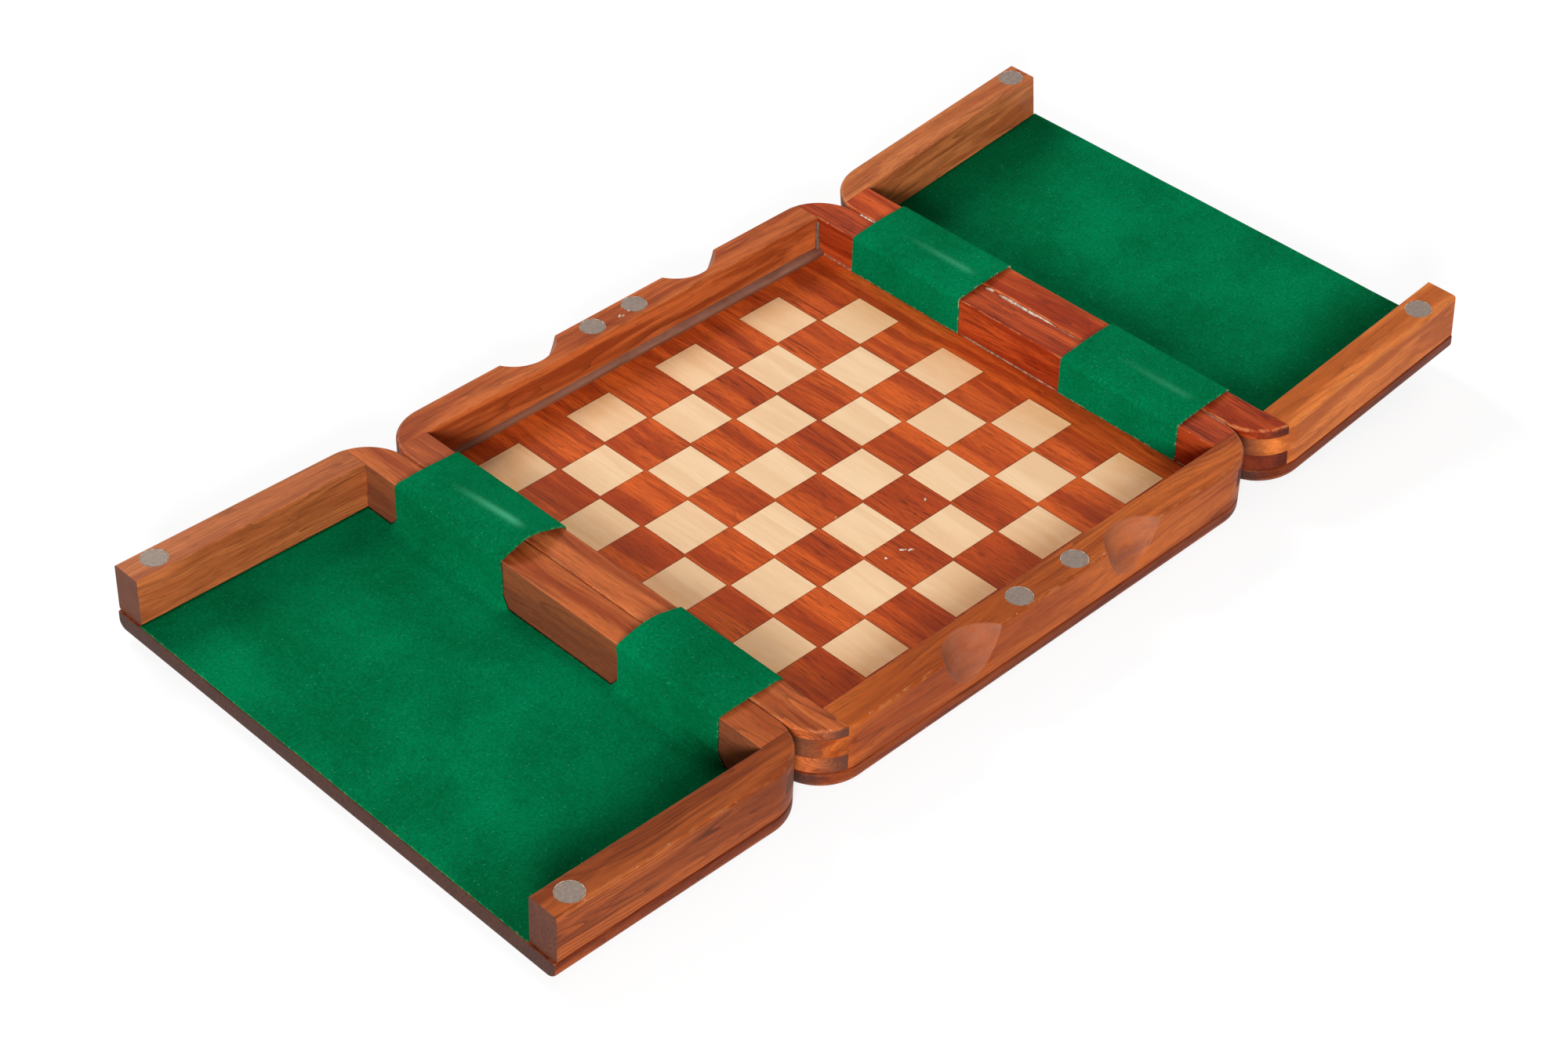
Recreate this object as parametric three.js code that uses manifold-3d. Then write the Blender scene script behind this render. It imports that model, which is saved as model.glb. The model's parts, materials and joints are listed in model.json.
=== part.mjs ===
// Folding travel chess box, open: a square tray that carries the chessboard, and the lid, sawn
// into two doors that hang on cloth hinges at the tray's left and right rails.
//
// Units are millimetres, +Z is up. The origin is the centre of the tray's underside. The players
// sit at -Y (near) and +Y (far), and the doors open to -X (left) and +X (right).

import * as THREE from 'three';
import { mergeVertices } from 'three/addons/utils/BufferGeometryUtils.js';
import Module from 'manifold-3d';

const wasm = await Module();
wasm.setup();

// ---------------------------------------------------------------- driving dimensions

const SQUARE = 17.4; // pitch of the playing squares
const SQUARES = 8; // squares along one side of the board
const INLAY_MARGIN = 0.25; // dark wood left on each side of a light square
const INLAY_DEPTH = 1.2;

const SIDE = 177.6; // the closed box is square, outside
const HALF = SIDE / 2;
const HEIGHT = 20.6; // one half of the box: bottom board and rails
const BOARD_THICKNESS = 5.2; // the tray's bottom board, and each door's panel
const CORNER_RADIUS = 15; // upright corners, rounded in plan
const SIDE_RAIL = 10.1; // width of the far and near rails
const HINGE_RAIL = 10.9; // width of the left and right rails, which carry the hinges
const INNER_X = HALF - HINGE_RAIL;
const INNER_Y = HALF - SIDE_RAIL;
const SAW_CUT = 0.6; // gap between the two doors when they are shut

const SEAM = 0.1; // gap left in each glued or pressed joint
const GROOVE = 0.8; // chamfer on both sides of the joint between rails and bottom board
const TOP_ROUND = 0.9; // rounding of the rails' outer top edge
const INNER_EASE = 0.4; // chamfer of the rails' inner top edge
const BOTTOM_ROUND = 2.4; // rounding of the bottom board's lower edge

const LOW_FINGER = 5.7; // box joint: heights of the lower and middle fingers
const MIDDLE_FINGER = 6.4;

const PLAYING_HEIGHT = 8.3; // playing surface above the tray's underside
const BEAD_WIDTH = 3.4; // bead at the foot of the far and near rails
const BEAD_HEIGHT = 1.5;

const SCOOP_X = 32; // finger scoops in the far and near rails
const SCOOP_RADIUS = 13;
const SCOOP_TOP_REACH = 6.9; // how far a scoop reaches into the rail's top
const SCOOP_DEPTH = 12.7; // and how far down the rail's outer face

const MAGNET_RADIUS = 3.75;
const MAGNET_THICKNESS = 3;
const MAGNET_Y = 84.1;
// Distance of each pair of magnets from the middle of the closed box, set by hand and a little uneven.
const MAGNET_X = { far: { left: 10.5, right: 6 }, near: { left: 9.2, right: 12.9 } };

const CLOTH = 0.6; // thickness of the lining and of the hinge straps
const CLOTH_BEND = 1.2; // outer radius of the cloth where it turns over a rail
const CLOTH_COVE = 4; // radius in which the cloth bridges the foot of the hinge rail
const CLOTH_OVERLAP = 1; // length in which a strap and its lining run into one another
const STRAP_END_GAP = 0.15; // each half of a strap stops this short of the hinge line
// Stretch of each strap along the hinge, from its near edge to its far edge.
const STRAPS = {
  left: { far: [20.4, 65.2], near: [-63.7, -25.9] },
  right: { far: [18.8, 63], near: [-65.9, -21.8] },
};

const HINGE_Z = HEIGHT + CLOTH + 2 * SEAM; // height of both hinge lines
const REST_TILT = { left: 1.8, right: 5.7 }; // degrees that each open door stands above flat

const ARC_STEPS = 10; // facets of a rounded upright corner
const ROUND_STEPS = 3; // facets of a rounded edge
const DISC_STEPS = 28;

// ---------------------------------------------------------------- materials

const MATERIALS = {
  rosewood: new THREE.MeshStandardMaterial({ color: 0xa04f24, roughness: 0.45 }),
  darkRosewood: new THREE.MeshStandardMaterial({ color: 0x6e2f18, roughness: 0.5 }),
  maple: new THREE.MeshStandardMaterial({ color: 0xe9c897, roughness: 0.5 }),
  magnet: new THREE.MeshStandardMaterial({ color: 0x8a8078, roughness: 0.55, metalness: 0.6 }),
  velvet: new THREE.MeshStandardMaterial({ color: 0x00693f, roughness: 1 }),
};

// ---------------------------------------------------------------- solids

/** A closed three.js geometry as a manifold solid. */
function solid(geometry) {
  const bare = geometry.clone();
  bare.deleteAttribute('normal');
  bare.deleteAttribute('uv');
  const merged = mergeVertices(bare, 1e-4);
  const mesh = new wasm.Mesh({
    numProp: 3,
    vertProperties: new Float32Array(merged.attributes.position.array),
    triVerts: new Uint32Array(merged.index.array),
  });
  return new wasm.Manifold(mesh);
}

/** A manifold solid as a three.js geometry. */
function geometryOf(manifold) {
  const mesh = manifold.getMesh();
  const geometry = new THREE.BufferGeometry();
  geometry.setAttribute('position', new THREE.BufferAttribute(mesh.vertProperties, 3));
  geometry.setIndex(new THREE.BufferAttribute(mesh.triVerts, 1));
  return geometry;
}

/** A named mesh in the scene. */
function part(name, shape, material) {
  const geometry = shape.isBufferGeometry ? shape : geometryOf(shape);
  const mesh = new THREE.Mesh(geometry, material);
  mesh.name = name;
  return mesh;
}

/** The block between two opposite corners. */
function block([x0, x1], [y0, y1], [z0, z1]) {
  const box = new THREE.BoxGeometry(x1 - x0, y1 - y0, z1 - z0);
  return box.translate((x0 + x1) / 2, (y0 + y1) / 2, (z0 + z1) / 2);
}

/** The solid that passes through a stack of outlines: [{ outline, z }], from the lowest up. */
function loft(sections) {
  const count = sections[0].outline.length;
  const vertices = sections.flatMap(({ outline, z }) => outline.flatMap(({ x, y }) => [x, y, z]));
  const cap = THREE.ShapeUtils.triangulateShape(sections[0].outline, []);
  const top = (sections.length - 1) * count;
  const indices = cap.flatMap(([a, b, c]) => [a, c, b, top + a, top + b, top + c]);
  for (let level = 0; level < sections.length - 1; level += 1) {
    for (let i = 0; i < count; i += 1) {
      const a = level * count + i;
      const b = level * count + ((i + 1) % count);
      indices.push(a, b, b + count, a, b + count, a + count);
    }
  }
  const geometry = new THREE.BufferGeometry();
  geometry.setAttribute('position', new THREE.Float32BufferAttribute(vertices, 3));
  geometry.setIndex(indices);
  return geometry;
}

/** The box's footprint, drawn in by an inset, as points that run anticlockwise. */
function footprint(inset) {
  const centre = HALF - CORNER_RADIUS;
  const radius = CORNER_RADIUS - inset;
  const points = [];
  for (let corner = 0; corner < 4; corner += 1) {
    const start = (corner * Math.PI) / 2;
    const cx = centre * Math.sign(Math.cos(start + Math.PI / 4));
    const cy = centre * Math.sign(Math.sin(start + Math.PI / 4));
    for (let step = 0; step <= ARC_STEPS; step += 1) {
      const angle = start + (step / ARC_STEPS) * (Math.PI / 2);
      points.push(new THREE.Vector2(cx + radius * Math.cos(angle), cy + radius * Math.sin(angle)));
    }
  }
  return points;
}

/** An opening with square corners, drawn outwards by a margin. */
function opening(halfX, halfY, margin) {
  const x = halfX + margin;
  const y = halfY + margin;
  return [[-x, -y], [x, -y], [x, y], [-x, y]].map((point) => new THREE.Vector2(...point));
}

/** Insets and heights of a rounded edge, from its foot at z up to the full radius or down from it. */
function quarterRound(z, radius, rising) {
  const sections = [];
  for (let step = 0; step <= ROUND_STEPS; step += 1) {
    const angle = ((step / ROUND_STEPS) * Math.PI) / 2;
    const inset = rising ? radius * (1 - Math.sin(angle)) : radius * (1 - Math.cos(angle));
    const height = rising ? radius * (1 - Math.cos(angle)) : radius * Math.sin(angle);
    sections.push({ outline: footprint(inset), z: z + height });
  }
  return sections;
}

// ---------------------------------------------------------------- box carcass

/** The bottom board of one half of the box: lower edge rounded, upper edge chamfered. */
function bottomBoard() {
  return solid(loft([
    ...quarterRound(0, BOTTOM_ROUND, true),
    { outline: footprint(0), z: BOARD_THICKNESS - GROOVE },
    { outline: footprint(GROOVE), z: BOARD_THICKNESS },
  ]));
}

/** The ring that the four rails are cut from. */
function railRing() {
  const foot = BOARD_THICKNESS + SEAM;
  const outside = solid(loft([
    { outline: footprint(GROOVE), z: foot },
    { outline: footprint(0), z: foot + GROOVE },
    ...quarterRound(HEIGHT - TOP_ROUND, TOP_ROUND, false),
  ]));
  const inside = solid(loft([
    { outline: opening(INNER_X, INNER_Y, 0), z: 0 },
    { outline: opening(INNER_X, INNER_Y, 0), z: HEIGHT - INNER_EASE },
    { outline: opening(INNER_X, INNER_Y, 2 * INNER_EASE), z: HEIGHT + INNER_EASE },
  ]));
  return outside.subtract(inside);
}

/**
 * What a rail keeps of one corner of the ring. The rail that owns the corner has the top and the
 * bottom finger there, and the other rail has the middle one.
 */
function fingers(owns, xRange, yRange) {
  const clear = SEAM / 2;
  const first = BOARD_THICKNESS + SEAM + LOW_FINGER;
  const second = first + MIDDLE_FINGER;
  const outer = [[0, first - clear], [second + clear, HEIGHT + 1]];
  const levels = owns ? outer : [[first + clear, second - clear]];
  return levels.map((level) => solid(block(xRange, yRange, level)));
}

/** A range of numbers, or its mirror image about zero when the side is -1. */
function onSide(side, [start, end]) {
  return side > 0 ? [start, end] : [-end, -start];
}

/** A far (side 1) or near (side -1) rail. It owns the corner on its left seen from the middle. */
function sideRail(ring, side) {
  const end = INNER_X - SEAM;
  const beyond = HALF + 1;
  const width = onSide(side, [INNER_Y, beyond]);
  const keep = [solid(block([-end, end], onSide(side, [INNER_Y - 1, beyond]), [0, HEIGHT + 1]))];
  keep.push(...fingers(side > 0, [-beyond, -end], width), ...fingers(side < 0, [end, beyond], width));
  return wasm.Manifold.union(keep).intersect(ring);
}

/** A right (side 1) or left (side -1) rail. It owns the corner on its left seen from the middle. */
function hingeRail(ring, side) {
  const end = INNER_Y - SEAM;
  const beyond = HALF + 1;
  const width = onSide(side, [INNER_X, beyond]);
  const keep = [solid(block(onSide(side, [INNER_X - 1, beyond]), [-end, end], [0, HEIGHT + 1]))];
  keep.push(...fingers(side < 0, width, [-beyond, -end]), ...fingers(side > 0, width, [end, beyond]));
  return wasm.Manifold.union(keep).intersect(ring);
}

// ---------------------------------------------------------------- details of the rails

/** A disc that lies flat between two heights. */
function disc(x, y, radius, [z0, z1]) {
  const geometry = new THREE.CylinderGeometry(radius, radius, z1 - z0, DISC_STEPS);
  return geometry.rotateX(Math.PI / 2).translate(x, y, (z0 + z1) / 2);
}

/** A disc magnet, let in almost flush with a rail's top. */
function magnet(name, x, y) {
  const face = HEIGHT - SEAM / 2;
  return part(name, disc(x, y, MAGNET_RADIUS, [face - MAGNET_THICKNESS, face]), MATERIALS.magnet);
}

/** The pocket that a magnet sits in, open at the rail's top. */
function magnetPocket(x, y) {
  return solid(disc(x, y, MAGNET_RADIUS + SEAM, [HEIGHT - MAGNET_THICKNESS - 2 * SEAM, HEIGHT + 1]));
}

/** The drum that cuts one finger scoop: it leans in, and bites the rail's outer top edge. */
function scoop(x, side) {
  const lean = Math.atan2(SCOOP_TOP_REACH, SCOOP_DEPTH);
  const drum = new THREE.CylinderGeometry(SCOOP_RADIUS, SCOOP_RADIUS, 2 * HEIGHT, 2 * DISC_STEPS);
  drum.rotateX(Math.PI / 2 + side * lean);
  const y = HALF - SCOOP_TOP_REACH + SCOOP_RADIUS * Math.cos(lean);
  return solid(drum.translate(x, side * y, HEIGHT + SCOOP_RADIUS * Math.sin(lean)));
}

/** The bead at the foot of the far (side 1) or near (side -1) rail, which covers the board's edge. */
function bead(side) {
  const profile = new THREE.Shape();
  profile.moveTo(-1, 0);
  profile.absellipse(0, 0, BEAD_WIDTH, BEAD_HEIGHT, 0, Math.PI / 2, false);
  profile.lineTo(-1, BEAD_HEIGHT);
  const length = 2 * (INNER_X - SEAM);
  const strip = new THREE.ExtrudeGeometry(profile, { depth: length, bevelEnabled: false, curveSegments: 6 });
  strip.rotateX(Math.PI / 2).rotateZ((-side * Math.PI) / 2);
  return solid(strip.translate((side * length) / 2, side * INNER_Y, PLAYING_HEIGHT + SEAM));
}

// ---------------------------------------------------------------- chessboard

/** Middle of a square, counted from the near left corner. */
function squareCentre(file, rank) {
  const first = (-(SQUARES - 1) * SQUARE) / 2;
  return [first + file * SQUARE, first + rank * SQUARE];
}

/** Every light square, named as players name it: the near left corner, a1, is dark. */
function lightSquares() {
  const squares = [];
  for (let rank = 0; rank < SQUARES; rank += 1) {
    for (let file = 0; file < SQUARES; file += 1) {
      const name = `${'abcdefgh'[file]}${rank + 1}`;
      if ((file + rank) % 2 === 1) squares.push({ name, centre: squareCentre(file, rank) });
    }
  }
  return squares;
}

/** A block with a square plan. */
function tile([x, y], side, levels) {
  return block([x - side / 2, x + side / 2], [y - side / 2, y + side / 2], levels);
}

/** The dark board with a pocket for each light square, and the maple squares let into it. */
function chessboard() {
  const squares = lightSquares();
  const side = SQUARE - 2 * INLAY_MARGIN;
  const foot = BOARD_THICKNESS + SEAM;
  const floor = PLAYING_HEIGHT - INLAY_DEPTH;
  const pockets = squares.map(({ centre }) => solid(tile(centre, side, [floor, HEIGHT])));
  const [x, y] = [INNER_X - SEAM, INNER_Y - SEAM];
  const dark = solid(block([-x, x], [-y, y], [foot, PLAYING_HEIGHT])).subtract(wasm.Manifold.union(pockets));
  const inlays = squares.map(({ name, centre }) => {
    const inlay = tile(centre, side - 2 * SEAM, [floor + SEAM, PLAYING_HEIGHT]);
    return part(`maple_square_${name}`, inlay, MATERIALS.maple);
  });
  return [part('chessboard', dark, MATERIALS.darkRosewood), ...inlays];
}

// ---------------------------------------------------------------- cloth

/**
 * One half of a strap, at the right hinge of a rail that ends at x = 0 and runs to x = -HINGE_RAIL:
 * over the rail's top from the hinge line, round its edge and down its inner face. A cove at the
 * foot, where the cloth runs on into a lining, is a bend of the given radius, or 0 for none.
 */
function strapProfile(foot, cove) {
  const inner = -HINGE_RAIL - SEAM;
  const outer = inner - CLOTH;
  const under = HEIGHT + SEAM;
  const over = under + CLOTH;
  const shape = new THREE.Shape();
  shape.moveTo(-STRAP_END_GAP, under);
  shape.lineTo(-STRAP_END_GAP, over);
  shape.absarc(outer + CLOTH_BEND, over - CLOTH_BEND, CLOTH_BEND, Math.PI / 2, Math.PI, false);
  if (cove > 0) {
    shape.absarc(outer - cove, foot + CLOTH + cove, cove, 0, -Math.PI / 2, true);
    shape.lineTo(outer - cove - CLOTH_OVERLAP, foot + CLOTH);
    shape.lineTo(outer - cove - CLOTH_OVERLAP, foot);
    shape.absarc(outer - cove, foot + CLOTH + cove, cove + CLOTH, -Math.PI / 2, 0, false);
  } else {
    shape.lineTo(outer, foot);
    shape.lineTo(inner, foot);
  }
  shape.absarc(outer + CLOTH_BEND, over - CLOTH_BEND, CLOTH_BEND - CLOTH, Math.PI, Math.PI / 2, true);
  return shape;
}

/** A strap's half on one rail, as a geometry between its near and far edges. */
function strapHalf(foot, cove, [y0, y1]) {
  const profile = strapProfile(foot, cove);
  const cloth = new THREE.ExtrudeGeometry(profile, { depth: y1 - y0, bevelEnabled: false, curveSegments: 4 });
  return cloth.rotateX(Math.PI / 2).translate(0, y1, 0);
}

/** A side's straps on a rail at x = HALF, or, turned half round, on the rail at x = -HALF. */
function strapsOnRail(stretches, foot, cove, turned) {
  return stretches.map(([y0, y1]) => {
    const cloth = strapHalf(foot, cove, turned ? [-y1, -y0] : [y0, y1]).translate(HALF, 0, 0);
    return turned ? cloth.rotateZ(Math.PI) : cloth;
  });
}

/** The halves of a side's two straps that are glued to the tray. */
function trayStraps(side) {
  const { far, near } = STRAPS[side];
  const halves = strapsOnRail([far, near], PLAYING_HEIGHT + SEAM, 0, side === 'left');
  const ends = ['far', 'near'];
  return halves.map((cloth, i) => part(`hinge_strap_${side}_${ends[i]}`, cloth, MATERIALS.velvet));
}

/** A door's lining, cut in one piece with its halves of the two straps. */
function lining(stretches) {
  const foot = BOARD_THICKNESS + SEAM;
  const wall = -INNER_X + SEAM;
  const straps = strapsOnRail(stretches, foot, CLOTH_COVE, true).map(solid);
  const start = wall + CLOTH + CLOTH_COVE + CLOTH_OVERLAP / 2;
  const lifted = stretches.map((stretch) => solid(block([wall - 1, start], stretch, [0, HEIGHT])));
  const floor = solid(block([wall, -SAW_CUT / 2], [SEAM - INNER_Y, INNER_Y - SEAM], [foot, foot + CLOTH]));
  return wasm.Manifold.union([floor.subtract(wasm.Manifold.union(lifted)), ...straps]);
}

// ---------------------------------------------------------------- the tray and the doors

/** The tray with its board, its magnets and the tray's halves of the hinge straps. */
function tray() {
  const ring = railRing();
  const group = new THREE.Group();
  group.add(part('tray_bottom_board', bottomBoard(), MATERIALS.darkRosewood));
  for (const [end, side] of [['far', 1], ['near', -1]]) {
    const stations = [-MAGNET_X[end].left, MAGNET_X[end].right];
    const scoops = [scoop(-SCOOP_X, side), scoop(SCOOP_X, side)];
    const cuts = [...scoops, ...stations.map((x) => magnetPocket(x, side * MAGNET_Y))];
    const rail = sideRail(ring, side).subtract(wasm.Manifold.union(cuts)).add(bead(side));
    group.add(part(`tray_${end}_rail`, rail, MATERIALS.rosewood));
    group.add(magnet(`tray_magnet_${end}_left`, stations[0], side * MAGNET_Y));
    group.add(magnet(`tray_magnet_${end}_right`, stations[1], side * MAGNET_Y));
  }
  group.add(part('tray_right_rail', hingeRail(ring, 1), MATERIALS.rosewood));
  group.add(part('tray_left_rail', hingeRail(ring, -1), MATERIALS.rosewood));
  group.add(...chessboard(), ...trayStraps('right'), ...trayStraps('left'));
  return group;
}

/**
 * One door, which is half of a lid the size of the tray. It is built as the right door, lying open
 * with its hinge rail at the tray, and the left door is the same thing turned half round.
 */
function door(side) {
  const turned = side === 'left';
  const ring = railRing();
  const half = solid(block([-HALF - 1, -SAW_CUT / 2], [-HALF - 1, HALF + 1], [-1, HEIGHT + 1]));
  const straps = Object.values(STRAPS[side]).map(([y0, y1]) => (turned ? [-y1, -y0] : [y0, y1]));
  const pieces = [
    part(`${side}_door_panel`, bottomBoard().intersect(half), MATERIALS.darkRosewood),
    part(`${side}_door_hinge_rail`, hingeRail(ring, -1), MATERIALS.rosewood),
    part(`${side}_door_lining`, lining(straps), MATERIALS.velvet),
  ];
  for (const [end, across] of [['far', 1], ['near', -1]]) {
    const sign = turned ? -across : across;
    const x = -MAGNET_X[end][side];
    const rail = sideRail(ring, sign).intersect(half).subtract(magnetPocket(x, sign * MAGNET_Y));
    pieces.push(part(`${side}_door_${end}_rail`, rail, MATERIALS.rosewood));
    pieces.push(magnet(`${side}_door_magnet_${end}`, x, sign * MAGNET_Y));
  }
  const leaf = new THREE.Group();
  leaf.position.set(HALF, 0, -HINGE_Z);
  leaf.add(...pieces);
  const tilt = new THREE.Group();
  tilt.rotation.y = -THREE.MathUtils.degToRad(REST_TILT[side]);
  tilt.add(leaf);
  const hinge = new THREE.Group();
  hinge.position.set(turned ? -HALF : HALF, 0, HINGE_Z);
  hinge.rotation.z = turned ? Math.PI : 0;
  hinge.add(tilt);
  return hinge;
}

const chessBox = new THREE.Group();
chessBox.add(tray(), door('left'), door('right'));

export default chessBox;
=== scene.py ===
"""Folding travel chess box, open on a table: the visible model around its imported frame.

The tray carries an inlaid board, and its lid is sawn into two doors that hang on velvet straps.
Shapes are worked out in millimetres and become metres when a mesh is put in its place.
"""

from __future__ import annotations

import json
import logging
import math
import random
from dataclasses import dataclass, field
from enum import Enum
from typing import Callable, Iterable, Mapping, Sequence

import bmesh
import bpy
import numpy as np
from mathutils import Matrix, Vector, noise

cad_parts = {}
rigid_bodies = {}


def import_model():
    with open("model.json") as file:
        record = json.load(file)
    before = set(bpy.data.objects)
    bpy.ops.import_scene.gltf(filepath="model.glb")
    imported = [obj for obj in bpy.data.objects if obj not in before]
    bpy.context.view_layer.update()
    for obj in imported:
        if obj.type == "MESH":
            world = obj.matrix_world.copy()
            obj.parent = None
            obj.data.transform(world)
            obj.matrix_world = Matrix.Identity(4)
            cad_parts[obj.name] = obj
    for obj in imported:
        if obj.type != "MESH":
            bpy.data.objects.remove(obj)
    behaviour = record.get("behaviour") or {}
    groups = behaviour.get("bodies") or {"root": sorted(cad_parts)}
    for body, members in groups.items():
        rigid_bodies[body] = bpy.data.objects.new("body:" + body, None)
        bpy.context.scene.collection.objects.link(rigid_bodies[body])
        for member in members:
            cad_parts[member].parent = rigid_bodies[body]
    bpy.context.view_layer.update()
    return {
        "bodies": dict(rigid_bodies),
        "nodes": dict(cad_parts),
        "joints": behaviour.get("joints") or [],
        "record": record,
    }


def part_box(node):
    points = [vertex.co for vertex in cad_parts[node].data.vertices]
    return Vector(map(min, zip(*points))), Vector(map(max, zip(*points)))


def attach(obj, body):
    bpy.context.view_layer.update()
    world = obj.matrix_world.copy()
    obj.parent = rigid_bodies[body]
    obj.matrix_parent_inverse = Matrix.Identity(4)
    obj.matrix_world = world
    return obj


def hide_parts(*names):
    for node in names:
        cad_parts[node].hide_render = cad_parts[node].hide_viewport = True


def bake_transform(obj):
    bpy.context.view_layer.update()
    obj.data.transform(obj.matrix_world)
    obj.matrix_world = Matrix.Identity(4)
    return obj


LOG = logging.getLogger("chess_box")
MM = 0.001
SUPPORT = 0.3  # distance of a supporting edge from a rounded one, which keeps flats flat
Mesh, Piece, Socket = bpy.types.Mesh, bpy.types.Object, bpy.types.NodeSocket
Feed = Socket | float | tuple
FaceRule = Callable[[Vector, Vector], float]


class Side(Enum):
    """The side of the tray that a door hangs on."""

    LEFT = "left"
    RIGHT = "right"

    @property
    def sign(self) -> int:
        """-1 on the left and 1 on the right."""
        return -1 if self is Side.LEFT else 1


class RailEnd(Enum):
    """How a rail ends: in the joint's two fingers, in its one, or at the saw cut."""

    OWNER = "owner"
    GUEST = "guest"
    SAWN = "sawn"


def colour(code: str) -> tuple[float, float, float, float]:
    """Turn a colour such as "b4643c" into linear light.

    Args:
        code: six hexadecimal digits.

    Returns:
        Red, green, blue and an alpha of 1.
    """
    channels = [int(code[at : at + 2], 16) / 255 for at in (0, 2, 4)]
    linear = [c / 12.92 if c <= 0.04045 else ((c + 0.055) / 1.055) ** 2.4 for c in channels]
    return (*linear, 1.0)


def smooth(value: float) -> float:
    """Ease a value from 0 to 1, clamped to that range."""
    t = min(max(value, 0.0), 1.0)
    return t * t * (3 - 2 * t)


# ---------------- sizes read from the frame


@dataclass(frozen=True)
class BoxSizes:
    """Sizes of the shut box in millimetres, and how far each door stands open."""

    half: float
    height: float
    foot: float
    opening: tuple[float, float]
    playing_height: float
    hinge_height: float
    tilts: Mapping[Side, float]
    corner: float = 15.0
    seam: float = 0.1
    groove: float = 0.55
    saw_cut: float = 0.3

    @classmethod
    def from_frame(cls, frame: Mapping) -> "BoxSizes":
        """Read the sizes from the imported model.


        Returns:
            The box's sizes.
        """
        bottom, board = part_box("tray_bottom_board")[1] / MM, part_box("chessboard")[1] / MM
        hinges = {joint["child"]: joint for joint in frame["joints"]}
        tilts = {s: 180 - hinges[f"{s.value}_door"]["range_deg"][1] for s in Side}
        return cls(
            half=bottom.x,
            height=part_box("tray_far_rail")[1].z / MM,
            foot=bottom.z + cls.seam,
            opening=(board.x + cls.seam, board.y + cls.seam),
            playing_height=board.z,
            hinge_height=hinges["left_door"]["pos_m"][2] / MM,
            tilts=tilts,
        )

    def tray_place(self) -> Matrix:
        """The tray's place in the row frame, which also turns millimetres into metres."""
        return Matrix.Scale(MM, 4)

    def door_place(self, side: Side) -> Matrix:
        """The place of a door that was worked out as the left half of the shut lid, lying open.

        Args:
            side: the side that the door hangs on.

        Returns:
            A matrix that also turns millimetres into metres.
        """
        turn = math.pi if side is Side.LEFT else 0.0
        hinge = Matrix.Translation((side.sign * self.half, 0, self.hinge_height))
        tilt = Matrix.Rotation(-math.radians(self.tilts[side]), 4, "Y")
        leaf = Matrix.Translation((self.half, 0, -self.hinge_height))
        return Matrix.Scale(MM, 4) @ hinge @ Matrix.Rotation(turn, 4, "Z") @ tilt @ leaf

    def inset_of(self, x: float, y: float) -> float:
        """Distance of a point inside the box's outer wall."""
        away = Vector((abs(x) - self.half + self.corner, abs(y) - self.half + self.corner))
        beyond = Vector((max(away.x, 0), max(away.y, 0))).length
        return self.corner - beyond - min(max(away.x, away.y), 0)


# ---------------- node trees


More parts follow.
